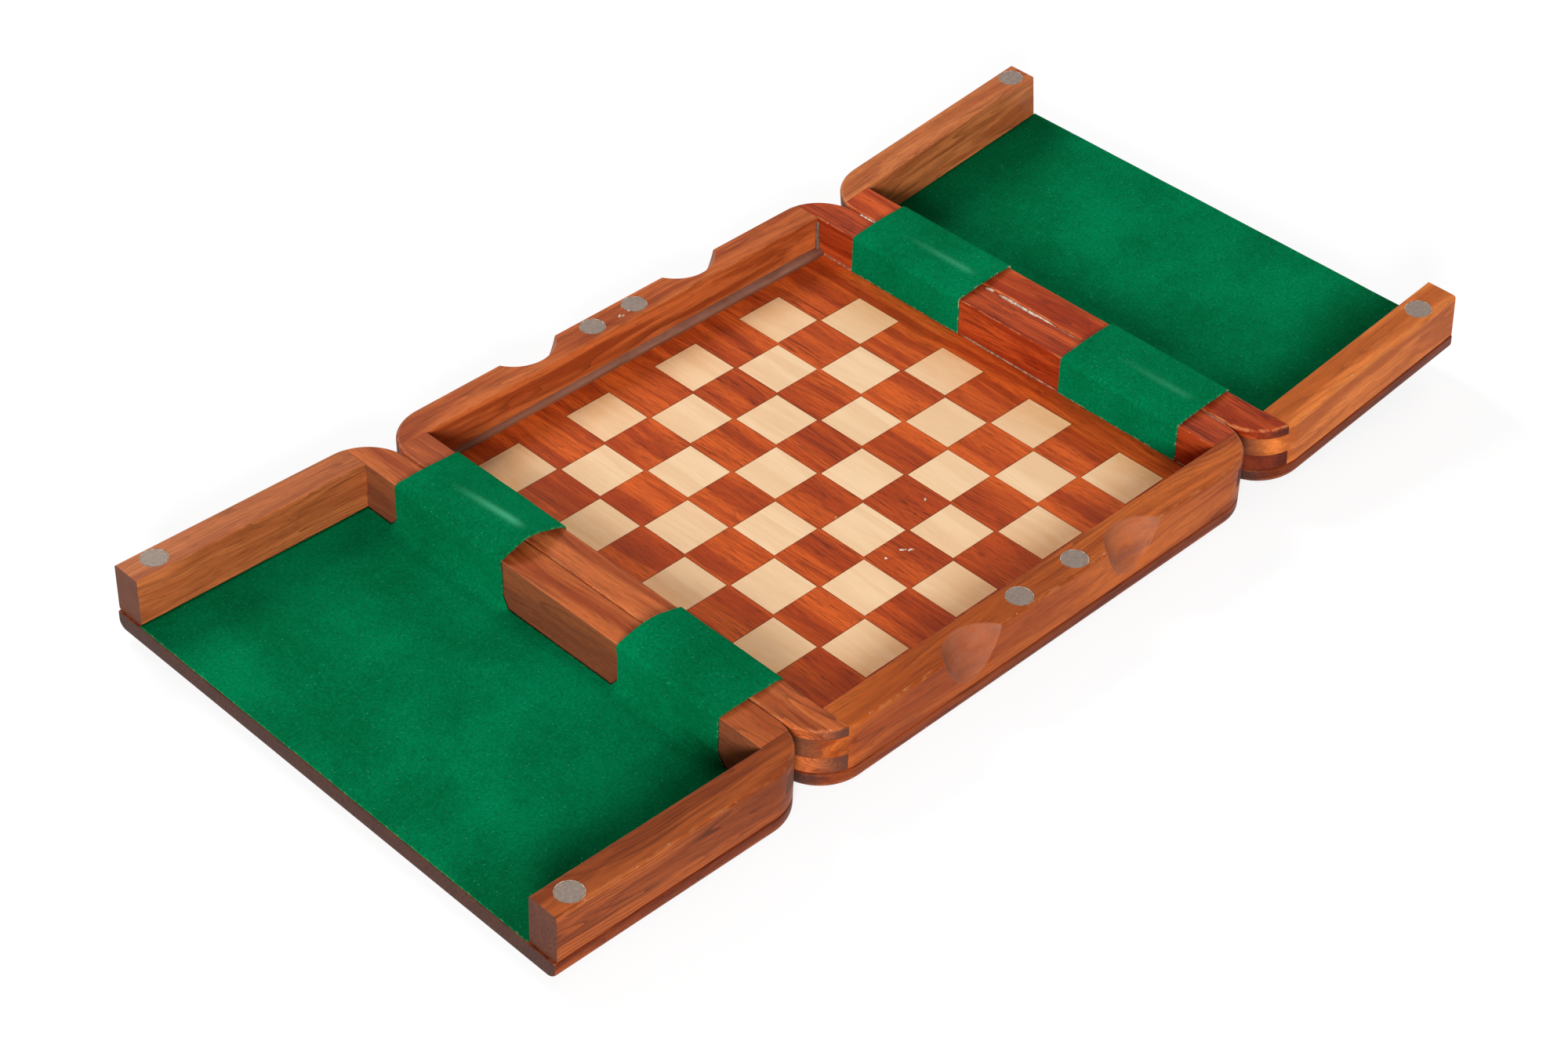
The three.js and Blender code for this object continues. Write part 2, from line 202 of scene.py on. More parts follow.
class Sketch:
    """Adds nodes to one node tree and wires each as it is added."""

    def __init__(self, tree: bpy.types.NodeTree) -> None:
        """Work on a tree."""
        self.tree = tree

    def add(self, kind: str, feeds: Mapping | None = None, **settings) -> bpy.types.Node:
        """Add a node.

        Args:
            kind: the node's type.
            feeds: a socket or a value for each input, by name or number.
            settings: the node's own properties.

        Returns:
            The node.
        """
        node = self.tree.nodes.new(kind)
        for name, value in settings.items():
            setattr(node, name, value)
        self.feed(node, feeds or {})
        return node

    def feed(self, node: bpy.types.Node, feeds: Mapping) -> None:
        """Link a socket to each of a node's inputs, or set the input's own value."""
        for name, value in feeds.items():
            if isinstance(value, Socket):
                self.tree.links.new(value, node.inputs[name])
            else:
                node.inputs[name].default_value = value

    def get(self, kind: str, feeds: Mapping | None = None, output: str | int = 0, **settings) -> Socket:
        """One output, the first unless another is named, of a node that is added."""
        return self.add(kind, feeds, **settings).outputs[output]

    def socket(self, name: str, way: str, kind: str, value: object = None) -> None:
        """Give the tree itself an input or an output, and an input its first value."""
        socket = self.tree.interface.new_socket(name=name, in_out=way, socket_type=kind)
        if value is not None:
            socket.default_value = value

    def maths(self, operation: str, *values: Feed) -> Socket:
        """A number worked out from others."""
        return self.get("ShaderNodeMath", dict(enumerate(values)), operation=operation)

    def times(self, first: Feed, second: Feed) -> Socket:
        """The product of two numbers."""
        return self.maths("MULTIPLY", first, second)

    def plus(self, first: Feed, second: Feed) -> Socket:
        """The sum of two numbers."""
        return self.maths("ADD", first, second)

    def less(self, first: Feed, second: Feed) -> Socket:
        """The first number less the second."""
        return self.maths("SUBTRACT", first, second)

    def vector(self, operation: str, *values: Feed) -> Socket:
        """A vector, or for a dot product a number, worked out from vectors."""
        output = "Value" if operation == "DOT_PRODUCT" else 0
        return self.get("ShaderNodeVectorMath", dict(enumerate(values)), output, operation=operation)

    def in_millimetres(self, place: Feed) -> Socket:
        """A place in metres, in millimetres."""
        return self.get("ShaderNodeVectorMath", {0: place, "Scale": 1 / MM}, operation="SCALE")

    def own(self, name: str, output: str = "Fac") -> Socket:
        """A mesh's own attribute, as a number or a vector."""
        return self.get("ShaderNodeAttribute", output=output, attribute_name=name)

    def noise(
        self, place: Feed, scale: tuple | None, detail: float = 2.0, roughness: float = 0.5
    ) -> Socket:
        """Smooth noise, about 0.3 to 0.7, at a place that is scaled along each axis first."""
        spot = self.vector("MULTIPLY", place, scale) if scale else place
        feeds = {"Vector": spot, "Scale": 1.0, "Detail": detail, "Roughness": roughness}
        return self.get("ShaderNodeTexNoise", feeds)

    def window(self, value: Feed, low: float, high: float) -> Socket:
        """Ease a value from 0 at low to 1 at high."""
        feeds = {"Value": value, "From Min": low, "From Max": high}
        return self.get("ShaderNodeMapRange", feeds, interpolation_type="SMOOTHSTEP")

    def level(self, factor: Feed, low: float, high: float) -> Socket:
        """A number between low and high, as the factor goes from 0 to 1."""
        return self.get("ShaderNodeMapRange", {"Value": factor, "To Min": low, "To Max": high})

    def mix(self, factor: Feed, first: Feed, second: Feed, blend: str = "MIX") -> Socket:
        """Mix two colours."""
        feeds = {0: factor, 6: first, 7: second}
        return self.get("ShaderNodeMix", feeds, 2, data_type="RGBA", blend_type=blend)

    def shaded(self, tone: Feed, light: Feed) -> Socket:
        """A colour made lighter or darker by a number."""
        grey = self.get("ShaderNodeCombineColor", {channel: light for channel in range(3)})
        return self.mix(1.0, tone, grey, "MULTIPLY")

    def bump(self, height: Feed, strength: float, depth: float) -> Socket:
        """The normal of a surface that a height roughens, to a depth in metres."""
        return self.get("ShaderNodeBump", {"Height": height, "Strength": strength, "Distance": depth})


@dataclass
class ShaderGroup:
    """A shader node group with named inputs and outputs, built once and used in many materials."""

    name: str
    inputs: Mapping[str, tuple[str, object]]
    outputs: Mapping[str, str]
    fill: Callable[[Sketch, Mapping[str, Socket]], Mapping[str, Socket]]
    tree: bpy.types.NodeTree | None = None

    def build(self) -> bpy.types.NodeTree:
        """Build the group the first time, and return it."""
        if self.tree is None:
            self.tree = bpy.data.node_groups.new(self.name, "ShaderNodeTree")
            sketch = Sketch(self.tree)
            for name, (kind, value) in self.inputs.items():
                sketch.socket(name, "INPUT", kind, value)
            for name, kind in self.outputs.items():
                sketch.socket(name, "OUTPUT", kind)
            given = sketch.add("NodeGroupInput").outputs
            sketch.add("NodeGroupOutput", self.fill(sketch, {name: given[name] for name in self.inputs}))
        return self.tree

    def place(self, sketch: Sketch, feeds: Mapping) -> bpy.types.bpy_prop_collection:
        """Put the group in a material.

        Args:
            sketch: the material's tree.
            feeds: a socket or a value for each input.

        Returns:
            The group node's outputs.
        """
        return sketch.add("ShaderNodeGroup", feeds, node_tree=self.build()).outputs


COLOUR, NUMBER, VECTOR = "NodeSocketColor", "NodeSocketFloat", "NodeSocketVector"
GEOMETRY, MATERIAL, WHOLE = "NodeSocketGeometry", "NodeSocketMaterial", "NodeSocketInt"


def fill_grain(sketch: Sketch, given: Mapping) -> Mapping:
    """Wood whose fibres run along the first axis of Grain, in millimetres.

    Args:
        sketch: the group's tree.
        given: the group's inputs.

    Returns:
        The group's outputs.
    """
    grain = given["Grain"]
    place = sketch.vector("MULTIPLY", grain, (0.013, 0.05, 0.05))
    drift = sketch.get("ShaderNodeTexNoise", {"Vector": place, "Scale": 1.0, "Detail": 2.0}, "Color")
    drift = sketch.vector("SUBTRACT", drift, (0.5, 0.5, 0.5))
    bent = sketch.vector("ADD", grain, sketch.vector("MULTIPLY", drift, (0.0, 11.0, 11.0)))
    bands = sketch.noise(bent, (0.006, 0.17, 0.17), 5.0, 0.62)
    tone = sketch.mix(sketch.window(bands, 0.40, 0.60), given["Brown"], given["Gold"])
    lot = sketch.noise(grain, (0.006, 0.017, 0.017), 1.0)
    tone = sketch.mix(sketch.times(sketch.window(lot, 0.48, 0.66), 0.6), tone, given["Brown"])
    growth = sketch.noise(bent, (0.006, 0.085, 0.085), 1.0)
    ring = sketch.maths("FRACT", sketch.times(growth, 24.0))
    ring = sketch.maths("POWER", ring, 3.0)
    patchy = sketch.noise(grain, (0.025, 0.10, 0.10), 2.0)
    ring = sketch.times(ring, sketch.window(patchy, 0.36, 0.62))
    tone = sketch.mix(sketch.times(ring, given["Rings"]), tone, given["Dark"])
    busy = sketch.window(lot, 0.36, 0.58)
    lines = sketch.noise(bent, (0.022, 1.5, 1.5), 3.0, 0.7)
    lines = sketch.times(sketch.window(lines, 0.53, 0.68), given["Streaks"])
    tone = sketch.mix(sketch.times(lines, busy), tone, given["Dark"])
    fibre = sketch.noise(bent, (0.05, 4.2, 4.2), 3.0, 0.7)
    silk = sketch.times(sketch.less(fibre, 0.5), given["Fibre"])
    mottle = sketch.noise(bent, (0.07, 0.45, 0.45), 4.0, 0.7)
    mottle = sketch.times(sketch.less(mottle, 0.5), given["Ripple"])
    tone = sketch.shaded(tone, sketch.plus(sketch.plus(silk, mottle), 1.0))
    pore = sketch.noise(grain, (0.22, 4.6, 4.6), 1.0)
    pore = sketch.times(sketch.window(pore, 0.60, 0.70), given["Pores"])
    tone = sketch.mix(sketch.times(pore, 0.8), tone, given["Dark"])
    rough = sketch.plus(sketch.level(fibre, -0.05, 0.07), sketch.times(pore, 0.2))
    height = sketch.less(sketch.times(fibre, 0.35), pore)
    return {"Color": tone, "Roughness": rough, "Height": height}


WOOD_GRAIN = ShaderGroup(
    "wood_grain",
    {
        "Grain": (VECTOR, (0.0, 0.0, 0.0)),
        "Gold": (COLOUR, colour("c07a45")),
        "Brown": (COLOUR, colour("a55a2e")),
        "Dark": (COLOUR, colour("5e2c18")),
        "Rings": (NUMBER, 0.4),
        "Streaks": (NUMBER, 0.5),
        "Pores": (NUMBER, 0.5),
        "Ripple": (NUMBER, 0.5),
        "Fibre": (NUMBER, 0.5),
    },
    {"Color": COLOUR, "Roughness": NUMBER, "Height": NUMBER},
    fill_grain,
)


def fill_wear_and_highlight(sketch: Sketch, given: Mapping) -> Mapping:
    """Rub the varnish off along the edges, unevenly, and leave a few pale chips there; the rubbed edges also
    stand for painted highlights and painted bounce light.

    Args:
        sketch: the group's tree.
        given: the group's inputs.

    Returns:
        The group's outputs.
    """
    grain = given["Grain"]
    patchy = sketch.noise(grain, (0.16, 0.5, 0.5), 3.0, 0.65)
    rubbed = sketch.times(sketch.window(patchy, 0.42, 0.62), given["Edge"])
    rubbed = sketch.times(rubbed, given["Amount"])
    chips = sketch.noise(grain, (0.7, 1.4, 1.4), 2.0)
    chips = sketch.times(sketch.window(chips, 0.69, 0.72), given["Edge"])
    worn = sketch.mix(rubbed, given["Color"], given["Bare"])
    worn = sketch.mix(sketch.times(chips, given["Amount"]), worn, colour("efe0cf"))
    return {"Color": worn, "Roughness": sketch.times(rubbed, 0.18)}


EDGE_WEAR_AND_HIGHLIGHT = ShaderGroup(
    "edge_wear_and_highlight",
    {
        "Color": (COLOUR, colour("a55a2e")),
        "Bare": (COLOUR, colour("d9a276")),
        "Grain": (VECTOR, (0.0, 0.0, 0.0)),
        "Edge": (NUMBER, 0.0),
        "Amount": (NUMBER, 0.6),
    },
    {"Color": COLOUR, "Roughness": NUMBER},
    fill_wear_and_highlight,
)


def fill_velvet(sketch: Sketch, given: Mapping) -> Mapping:
    """Short pile: broad brushed patches, a fine mottle, bright specks where single tufts stand up, painted
    shade beside the rails, and a painted highlight along the straps' creases.

    Args:
        sketch: the group's tree.
        given: the group's inputs.

    Returns:
        The group's outputs.
    """
    cloth = given["Cloth"]
    brushed = sketch.noise(cloth, (0.030, 0.030, 0.05), 2.0, 0.5)
    strokes = sketch.noise(cloth, (0.34, 0.26, 0.3), 5.0, 0.8)
    lean = sketch.plus(sketch.window(brushed, 0.25, 0.75), sketch.level(strokes, -1.0, 1.0))
    tone = sketch.mix(lean, given["Against"], given["With"])
    tufts = sketch.noise(cloth, (1.1, 1.1, 1.1), 5.0, 0.8)
    tone = sketch.shaded(tone, sketch.level(tufts, -0.05, 2.05))
    # Painted shade: the lining is darkened beside the far and the near rail, where the rails shade it.
    tone = sketch.mix(given["Upright"], tone, sketch.mix(1.0, tone, colour("a3b5a9"), "MULTIPLY"))
    place = sketch.vector("MULTIPLY", cloth, (1.1, 1.1, 1.1))
    cells = sketch.add("ShaderNodeTexVoronoi", {"Vector": place, "Scale": 1.0}).outputs
    lot = sketch.add("ShaderNodeSeparateColor", {0: cells["Color"]}).outputs
    speck = sketch.maths("LESS_THAN", cells["Distance"], sketch.level(lot[0], -0.09, 0.24))
    speck = sketch.times(speck, sketch.level(lot[1], 0.0, 0.45))
    tone = sketch.mix(speck, tone, given["Tuft"])
    # Painted highlight along the straps' creases, where the fold would catch the light.
    tone = sketch.mix(given["Crease"], tone, given["Tuft"])
    frays = sketch.noise(cloth, (0.5, 0.5, 0.5), 3.0, 0.7)
    frays = sketch.times(sketch.window(frays, 0.50, 0.62), given["Rim"])
    tone = sketch.mix(frays, tone, given["Weave"])
    return {"Color": tone, "Height": sketch.plus(tufts, sketch.times(speck, 0.5))}


VELVET_PILE = ShaderGroup(
    "velvet_pile",
    {
        "Cloth": (VECTOR, (0.0, 0.0, 0.0)),
        "With": (COLOUR, colour("007a48")),
        "Against": (COLOUR, colour("005c33")),
        "Tuft": (COLOUR, colour("5fc79a")),
        "Weave": (COLOUR, colour("b9b394")),
        "Crease": (NUMBER, 0.0),
        "Rim": (NUMBER, 0.0),
        "Upright": (NUMBER, 0.0),
    },
    {"Color": COLOUR, "Height": NUMBER},
    fill_velvet,
)


# ---------------- finishes


class Finish:
    """What a piece is finished in: its name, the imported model's slot for it, and its look."""

    name: str
    slot: str

    def look(self, sketch: Sketch) -> Mapping:
        """The shader's inputs, drawn in a sketch of the material."""
        raise NotImplementedError

    def material(self) -> bpy.types.Material:
        """Build the finish."""
        material = bpy.data.materials.new(self.name)
        material.use_nodes = True
        sketch = Sketch(material.node_tree)
        sketch.feed(material.node_tree.nodes["Principled BSDF"], self.look(sketch))
        return material


@dataclass(frozen=True)
class WoodFinish(Finish):
    """Varnished wood: the tones of its figure, and how much of each mark it shows."""

    name: str
    gold: str
    brown: str
    dark: str
    slot: str = "rail_rosewood"
    rings: float = 0.45
    streaks: float = 0.45
    pores: float = 0.5
    ripple: float = 0.5
    fibre: float = 0.5
    end_tone: str = "6b4a3e"
    # Colour of the worn edges, which is also their painted highlight and, on the boards, painted bounce light
    # from the floor.
    bare: str = "d08a58"
    # Colour of the film mark: a pale film in the scoops, painted shade and bounce light on the maple, and a
    # painted highlight with dust on the beads.
    film_and_painted_light: str = "a2664e"
    # How strongly the worn edges show, with their painted highlight and bounce light.
    wear_and_highlight: float = 0.3
    roughness: float = 0.42

    def look(self, sketch: Sketch) -> Mapping:
        """Figure and end grain, a film where one lies, worn edges, and how the varnish shines; the film and
        the worn edges also carry painted shade, bounce light and highlights.
        """
        grain, fibre = sketch.own("grain", "Vector"), sketch.own("fibre", "Vector")
        figure = WOOD_GRAIN.place(sketch, {
            "Grain": grain, "Gold": colour(self.gold), "Brown": colour(self.brown),
            "Dark": colour(self.dark), "Rings": self.rings, "Streaks": self.streaks,
            "Pores": self.pores, "Ripple": self.ripple, "Fibre": self.fibre,
        })
        surface = sketch.get("ShaderNodeTexCoord", output="Normal")
        across = sketch.maths("ABSOLUTE", sketch.vector("DOT_PRODUCT", surface, fibre))
        end = sketch.times(sketch.window(across, 0.50, 0.98), 0.97)
        end = sketch.maths("MAXIMUM", end, sketch.own("dull"))
        rays = sketch.noise(grain, (0.25, 1.3, 1.3), 3.0, 0.7)
        end_tone = sketch.mix(sketch.window(rays, 0.40, 0.80), colour(self.end_tone), colour(self.dark))
        tone = sketch.mix(sketch.times(end, 0.95), figure["Color"], end_tone)
        # The film mark: a pale film in the scoops, and painted light on the maple and the beads.
        cloud = sketch.noise(grain, (0.16, 0.3, 0.3), 3.0, 0.6)
        film_and_painted_light = sketch.times(sketch.level(cloud, 0.1, 1.1), sketch.own("film_and_painted_light"))
        tone = sketch.mix(sketch.times(film_and_painted_light, 0.8), tone, colour(self.film_and_painted_light))
        # Worn edges; on the rails' arrises they also stand for painted highlights, and on the boards' lower
        # rounded edges for painted bounce light from the floor.
        worn = EDGE_WEAR_AND_HIGHLIGHT.place(sketch, {
            "Color": tone, "Bare": colour(self.bare), "Grain": grain,
            "Edge": sketch.times(sketch.own("edge"), sketch.level(end, 1.0, 0.1)),
            "Amount": self.wear_and_highlight,
        })
        rough = sketch.plus(figure["Roughness"], worn["Roughness"])
        matt = sketch.times(sketch.maths("MAXIMUM", end, film_and_painted_light), 0.15)
        rough = sketch.plus(rough, matt)
        return {
            "Base Color": worn["Color"], "Roughness": sketch.plus(rough, self.roughness),
            "Normal": sketch.bump(figure["Height"], 0.12, 0.0002), "Specular IOR Level": 0.09,
        }


GOLDEN = WoodFinish(
    "golden_sheesham", "de7c39", "b65b23", "703211", rings=0.4, streaks=0.35,
    ripple=0.7, end_tone="563129",
)
REDDISH = WoodFinish(
    "reddish_sheesham", "cb6a35", "9a431d", "552410", rings=0.5, streaks=0.4,
    end_tone="654232",
)
ROSY = WoodFinish(
    "rosy_sheesham", "d27c46", "ab5a30", "5a2b15", rings=0.6, ripple=0.7,
    end_tone="5a3c32",
)
UMBER = WoodFinish(
    "umber_sheesham", "ac5524", "7e3713", "40180a", rings=0.7, streaks=0.5,
    end_tone="55362d", wear_and_highlight=0.2,
)
# Its bare colour is the pale orange of its worn edges, which also paints the highlight along the rails' inner
# arris.
DEEP_RED = WoodFinish(
    "deep_red_sheesham", "cf5826", "9a3313", "43120b", streaks=0.8,
    bare="e08752", end_tone="4a2018", wear_and_highlight=0.6,
)
AMBER = WoodFinish(
    "amber_sheesham", "c46427", "943f13", "52210b", rings=0.5, streaks=0.4,
    end_tone="654232",
)
RUSSET = WoodFinish(
    "russet_sheesham", "cc6c38", "a04922", "481a0b", rings=0.6, streaks=0.7,
    end_tone="55362d",
)
# Its bare colour on the boards' lower rounded edges is painted bounce light from the floor, with a few pale
# chips.
PANEL = WoodFinish(
    "panel_sheesham", "99471f", "6a2a12", "2f110a", "panel_rosewood", end_tone="45322c", wear_and_highlight=0.7,
    bare="b0683c",
)
BOARD = WoodFinish(
    "board_veneer", "d85f24", "ab4016", "5a1c0a", "board_rosewood", rings=0.3, streaks=0.75,
    pores=0.8, ripple=0.7, fibre=0.9, wear_and_highlight=0.0, roughness=0.36, end_tone="6a3614",
)
# The maple's film colour is painted shade and orange bounce light from the rails, laid on the squares nearest
# them.
MAPLE = WoodFinish(
    "maple_inlay", "fbd6ab", "f3ca9e", "b4824f", "maple_inlay", rings=0.06, streaks=0.12,
    pores=0.04, ripple=0.12, fibre=0.1, wear_and_highlight=0.0, roughness=0.36, end_tone="e0b98c", film_and_painted_light="ee963e",
)
# The bead's film colour is its pale crest: a painted highlight, with dust.
BEADING = WoodFinish(
    "bead_sheesham", "84503a", "633525", "3a1d13", rings=0.1, streaks=0.3,
    pores=0.1, ripple=0.4, wear_and_highlight=0.0, film_and_painted_light="ad8270",
)


@dataclass(frozen=True)
class VelvetFinish(Finish):
    """Green cotton velvet."""

    name: str = "green_velvet"
    slot: str = "green_velvet"
    along: str = "00794a"
    against: str = "006036"
    tuft: str = "4fb487"
    weave: str = "a9ad86"
    sheen: str = "00c47c"

    def look(self, sketch: Sketch) -> Mapping:
        """Brushed pile with a soft sheen, its weave bared where it is cut, painted shade beside the rails,
        and a painted highlight along the straps' creases.
        """
        pile = VELVET_PILE.place(sketch, {
            "Cloth": sketch.own("cloth", "Vector"), "With": colour(self.along),
            "Against": colour(self.against), "Tuft": colour(self.tuft), "Weave": colour(self.weave),
            "Crease": sketch.own("crease"), "Rim": sketch.own("rim"), "Upright": sketch.own("upright"),
        })
        return {
            "Base Color": pile["Color"], "Normal": sketch.bump(pile["Height"], 0.5, 0.0004),
            "Roughness": 1.0, "Specular IOR Level": 0.02, "Sheen Weight": 0.25,
            "Sheen Roughness": 0.5, "Sheen Tint": colour(self.sheen),
        }


@dataclass(frozen=True)
class MagnetFinish(Finish):
    """The ground face of a sintered magnet, dull and finely scratched."""

    name: str = "magnet_face"
    slot: str = "magnet_face"
    tone: str = "887669"
    shade: str = "76665b"

    def look(self, sketch: Sketch) -> Mapping:
        """Cloudy grey metal, scratched one way."""
        place = sketch.in_millimetres(sketch.get("ShaderNodeTexCoord", output="Object"))
        cloud = sketch.noise(place, None, 3.0, 0.6)
        scratch = sketch.noise(place, (0.7, 14.0, 1.0), 2.0)
        return {
            "Base Color": sketch.mix(
                sketch.window(cloud, 0.30, 0.70), colour(self.shade), colour(self.tone)
            ),
            "Roughness": sketch.plus(sketch.level(scratch, -0.1, 0.15), 0.55),
            "Normal": sketch.bump(scratch, 0.1, 0.0001), "Metallic": 0.35,
        }


@dataclass(frozen=True)
class GlueFinish(Finish):
    """Dried white glue, with dust in it."""

    name: str = "dried_glue"
    slot: str = "rail_rosewood"
    tone: str = "e9d9c6"
    dust: str = "a98d76"

    def look(self, sketch: Sketch) -> Mapping:
        """Clouds of dust in the glue."""
        place = sketch.in_millimetres(sketch.get("ShaderNodeTexCoord", output="Object"))
        cloud = sketch.noise(place, None, 3.0, 0.65)
        return {
            "Base Color": sketch.mix(
                sketch.window(cloud, 0.42, 0.60), colour(self.dust), colour(self.tone)
            ),
            "Normal": sketch.bump(cloud, 0.2, 0.0002), "Roughness": 0.5,
        }


class Workshop:
    """Keeps the scene's materials, puts meshes in it, and hands pieces to the frame."""

    def __init__(self) -> None:
        """Start with no material made."""
        self.materials: dict[str, bpy.types.Material] = {}

    def finish_of(self, finish: Finish) -> bpy.types.Material:
        """The material of a finish, built the first time."""
        if finish.name not in self.materials:
            self.materials[finish.name] = finish.material()
        return self.materials[finish.name]

    @staticmethod
    def put(name: str, mesh: Mesh) -> Piece:
        """Put a mesh in the scene."""
        piece = bpy.data.objects.new(name, mesh)
        bpy.context.scene.collection.objects.link(piece)
        return piece

    @staticmethod
    def settle(piece: Piece) -> None:
        """Turn what a piece's modifiers make of it into its plain mesh, and remove them."""
        graph = bpy.context.evaluated_depsgraph_get()
        mesh = bpy.data.meshes.new_from_object(piece.evaluated_get(graph))
        piece.modifiers.clear()
        piece.data = mesh

    def carve(self, piece: Piece, tool: Mesh, operation: str) -> None:
        """Cut a piece with a tool, or keep what both share.

        Args:
            piece: the piece to cut.
            tool: the tool's mesh.
            operation: DIFFERENCE or INTERSECT.
        """
        cutter = self.put("tool", tool)
        modifier = piece.modifiers.new("carve", "BOOLEAN")
        modifier.operation, modifier.solver, modifier.object = operation, "EXACT", cutter
        bpy.context.view_layer.update()
        self.settle(piece)
        bpy.data.objects.remove(cutter)

    def dress(self, piece: Piece, finish: Finish, stands_for: Iterable[str]) -> None:
        """Give a piece its finish, and hide the CAD nodes that it replaces."""
        piece.data.materials.clear()
        piece.data.materials.append(self.finish_of(finish))
        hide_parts(*stands_for)

    def hand_over(
        self, piece: Piece, finish: Finish, body: str, stands_for: Iterable[str] = ()
    ) -> None:
        """Dress a finished piece and hand it to the frame.

        Args:
            piece: the piece, with its mesh in the row frame.
            finish: its finish.
            body: the body that it rides on.
            stands_for: the CAD nodes that it replaces.
        """
        self.dress(piece, finish, stands_for)
        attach(piece, body)
        LOG.info("%s: %d faces, on %s", piece.name, len(piece.data.polygons), body)


# ---------------- mesh making


def plain_mesh(name: str, points: Sequence, edges: Sequence = (), faces: Sequence = ()) -> Mesh:
    """A mesh of points, with the edges or the faces between them."""
    mesh = bpy.data.meshes.new(name)
    mesh.from_pydata([tuple(point) for point in points], edges, faces)
    return mesh


def eased(radius: float, steps: int) -> list[tuple[float, float]]:
    """A rounded edge, from one face to the next.

    Args:
        radius: how round it is.
        steps: facets in its quarter turn.

    Returns:
        How far each point lies inside the second face and inside the first one.
    """
    angles = [step * math.pi / (2 * steps) for step in range(steps + 1)]
    return [(radius * (1 - math.sin(a)), radius * (1 - math.cos(a))) for a in angles]


def raised(point: Vector, height: float) -> Vector:
    """A point of the plan, put at a height."""
    return Vector((point.x, point.y, height))


def mesh_from(name: str, points: Sequence, faces: Sequence) -> Mesh:
    """A clean mesh: doubles merged, slivers gone, faces pointing outwards.

    Args:
        name: the mesh's name.
        points: its corners.
        faces: its faces, as lists of corner numbers.

    Returns:
        The mesh.
    """
    mesh = plain_mesh(name, points, faces=faces)
    work = bmesh.new()
    work.from_mesh(mesh)
    bmesh.ops.remove_doubles(work, verts=work.verts, dist=1e-5)
    bmesh.ops.dissolve_degenerate(work, edges=work.edges, dist=1e-5)
    bmesh.ops.recalc_face_normals(work, faces=work.faces)
    work.to_mesh(mesh)
    work.free()
    return mesh


def loft(name: str, sections: Sequence[Sequence[Vector]], closed: bool = False) -> Mesh:
    """The solid that passes through a row of sections, which all have the same number of points.

    Args:
        name: the mesh's name.
        sections: the sections, in order.
        closed: whether the last section joins the first.

    Returns:
        The mesh, with its two ends capped unless it is closed.
    """
    count, rows = len(sections[0]), len(sections)
    points = [point for section in sections for point in section]
    faces = []
    for row in range(rows if closed else rows - 1):
        here, there = row * count, ((row + 1) % rows) * count
        for i in range(count):
            j = (i + 1) % count
            faces.append((here + i, here + j, there + j, there + i))
    if not closed:
        faces += [tuple(range(count)), tuple(range((rows - 1) * count, rows * count))]
    return mesh_from(name, points, faces)


def lathe(name: str, profile: Sequence[tuple[float, float]], at: Vector, steps: int = 64) -> Mesh:
    """A turned solid about an upright axis.

    Args:
        name: the mesh's name.
        profile: radius and height of each point of its outline.
        at: the axis's foot.
        steps: facets round it.

    Returns:
        The mesh.
    """
    angles = [2 * math.pi * step / steps for step in range(steps)]
    sections = [[at + Vector((r * math.cos(a), r * math.sin(a), z)) for r, z in profile] for a in angles]
    return loft(name, sections, closed=True)


def shade(mesh: Mesh, angle: float = 24.0) -> None:
    """Smooth a mesh but for edges sharper than an angle, in degrees."""
    mesh.shade_smooth()
    mesh.set_sharp_from_angle(angle=math.radians(angle))


def joined(meshes: Sequence[Mesh]) -> Mesh:
    """Several meshes as one, which takes the first one's name."""
    work = bmesh.new()
    for mesh in meshes:
        work.from_mesh(mesh)
    work.to_mesh(meshes[0])
    work.free()
    return meshes[0]


def stamp(mesh: Mesh, name: str, kind: str, values: Sequence, domain: str = "POINT") -> None:
    """Write an attribute on a mesh.

    Args:
        mesh: the mesh.
        name: the attribute's name.
        kind: FLOAT or FLOAT_VECTOR.
        values: a number or a vector for each element.
        domain: what carries the values.
    """
    attribute = mesh.attributes.get(name) or mesh.attributes.new(name, kind, domain)
    key = "vector" if kind == "FLOAT_VECTOR" else "value"
    attribute.data.foreach_set(key, np.asarray(values, np.float32).ravel())


def nowhere(middle: Vector, normal: Vector) -> float:
    """A mark that no face has."""
    return 0.0


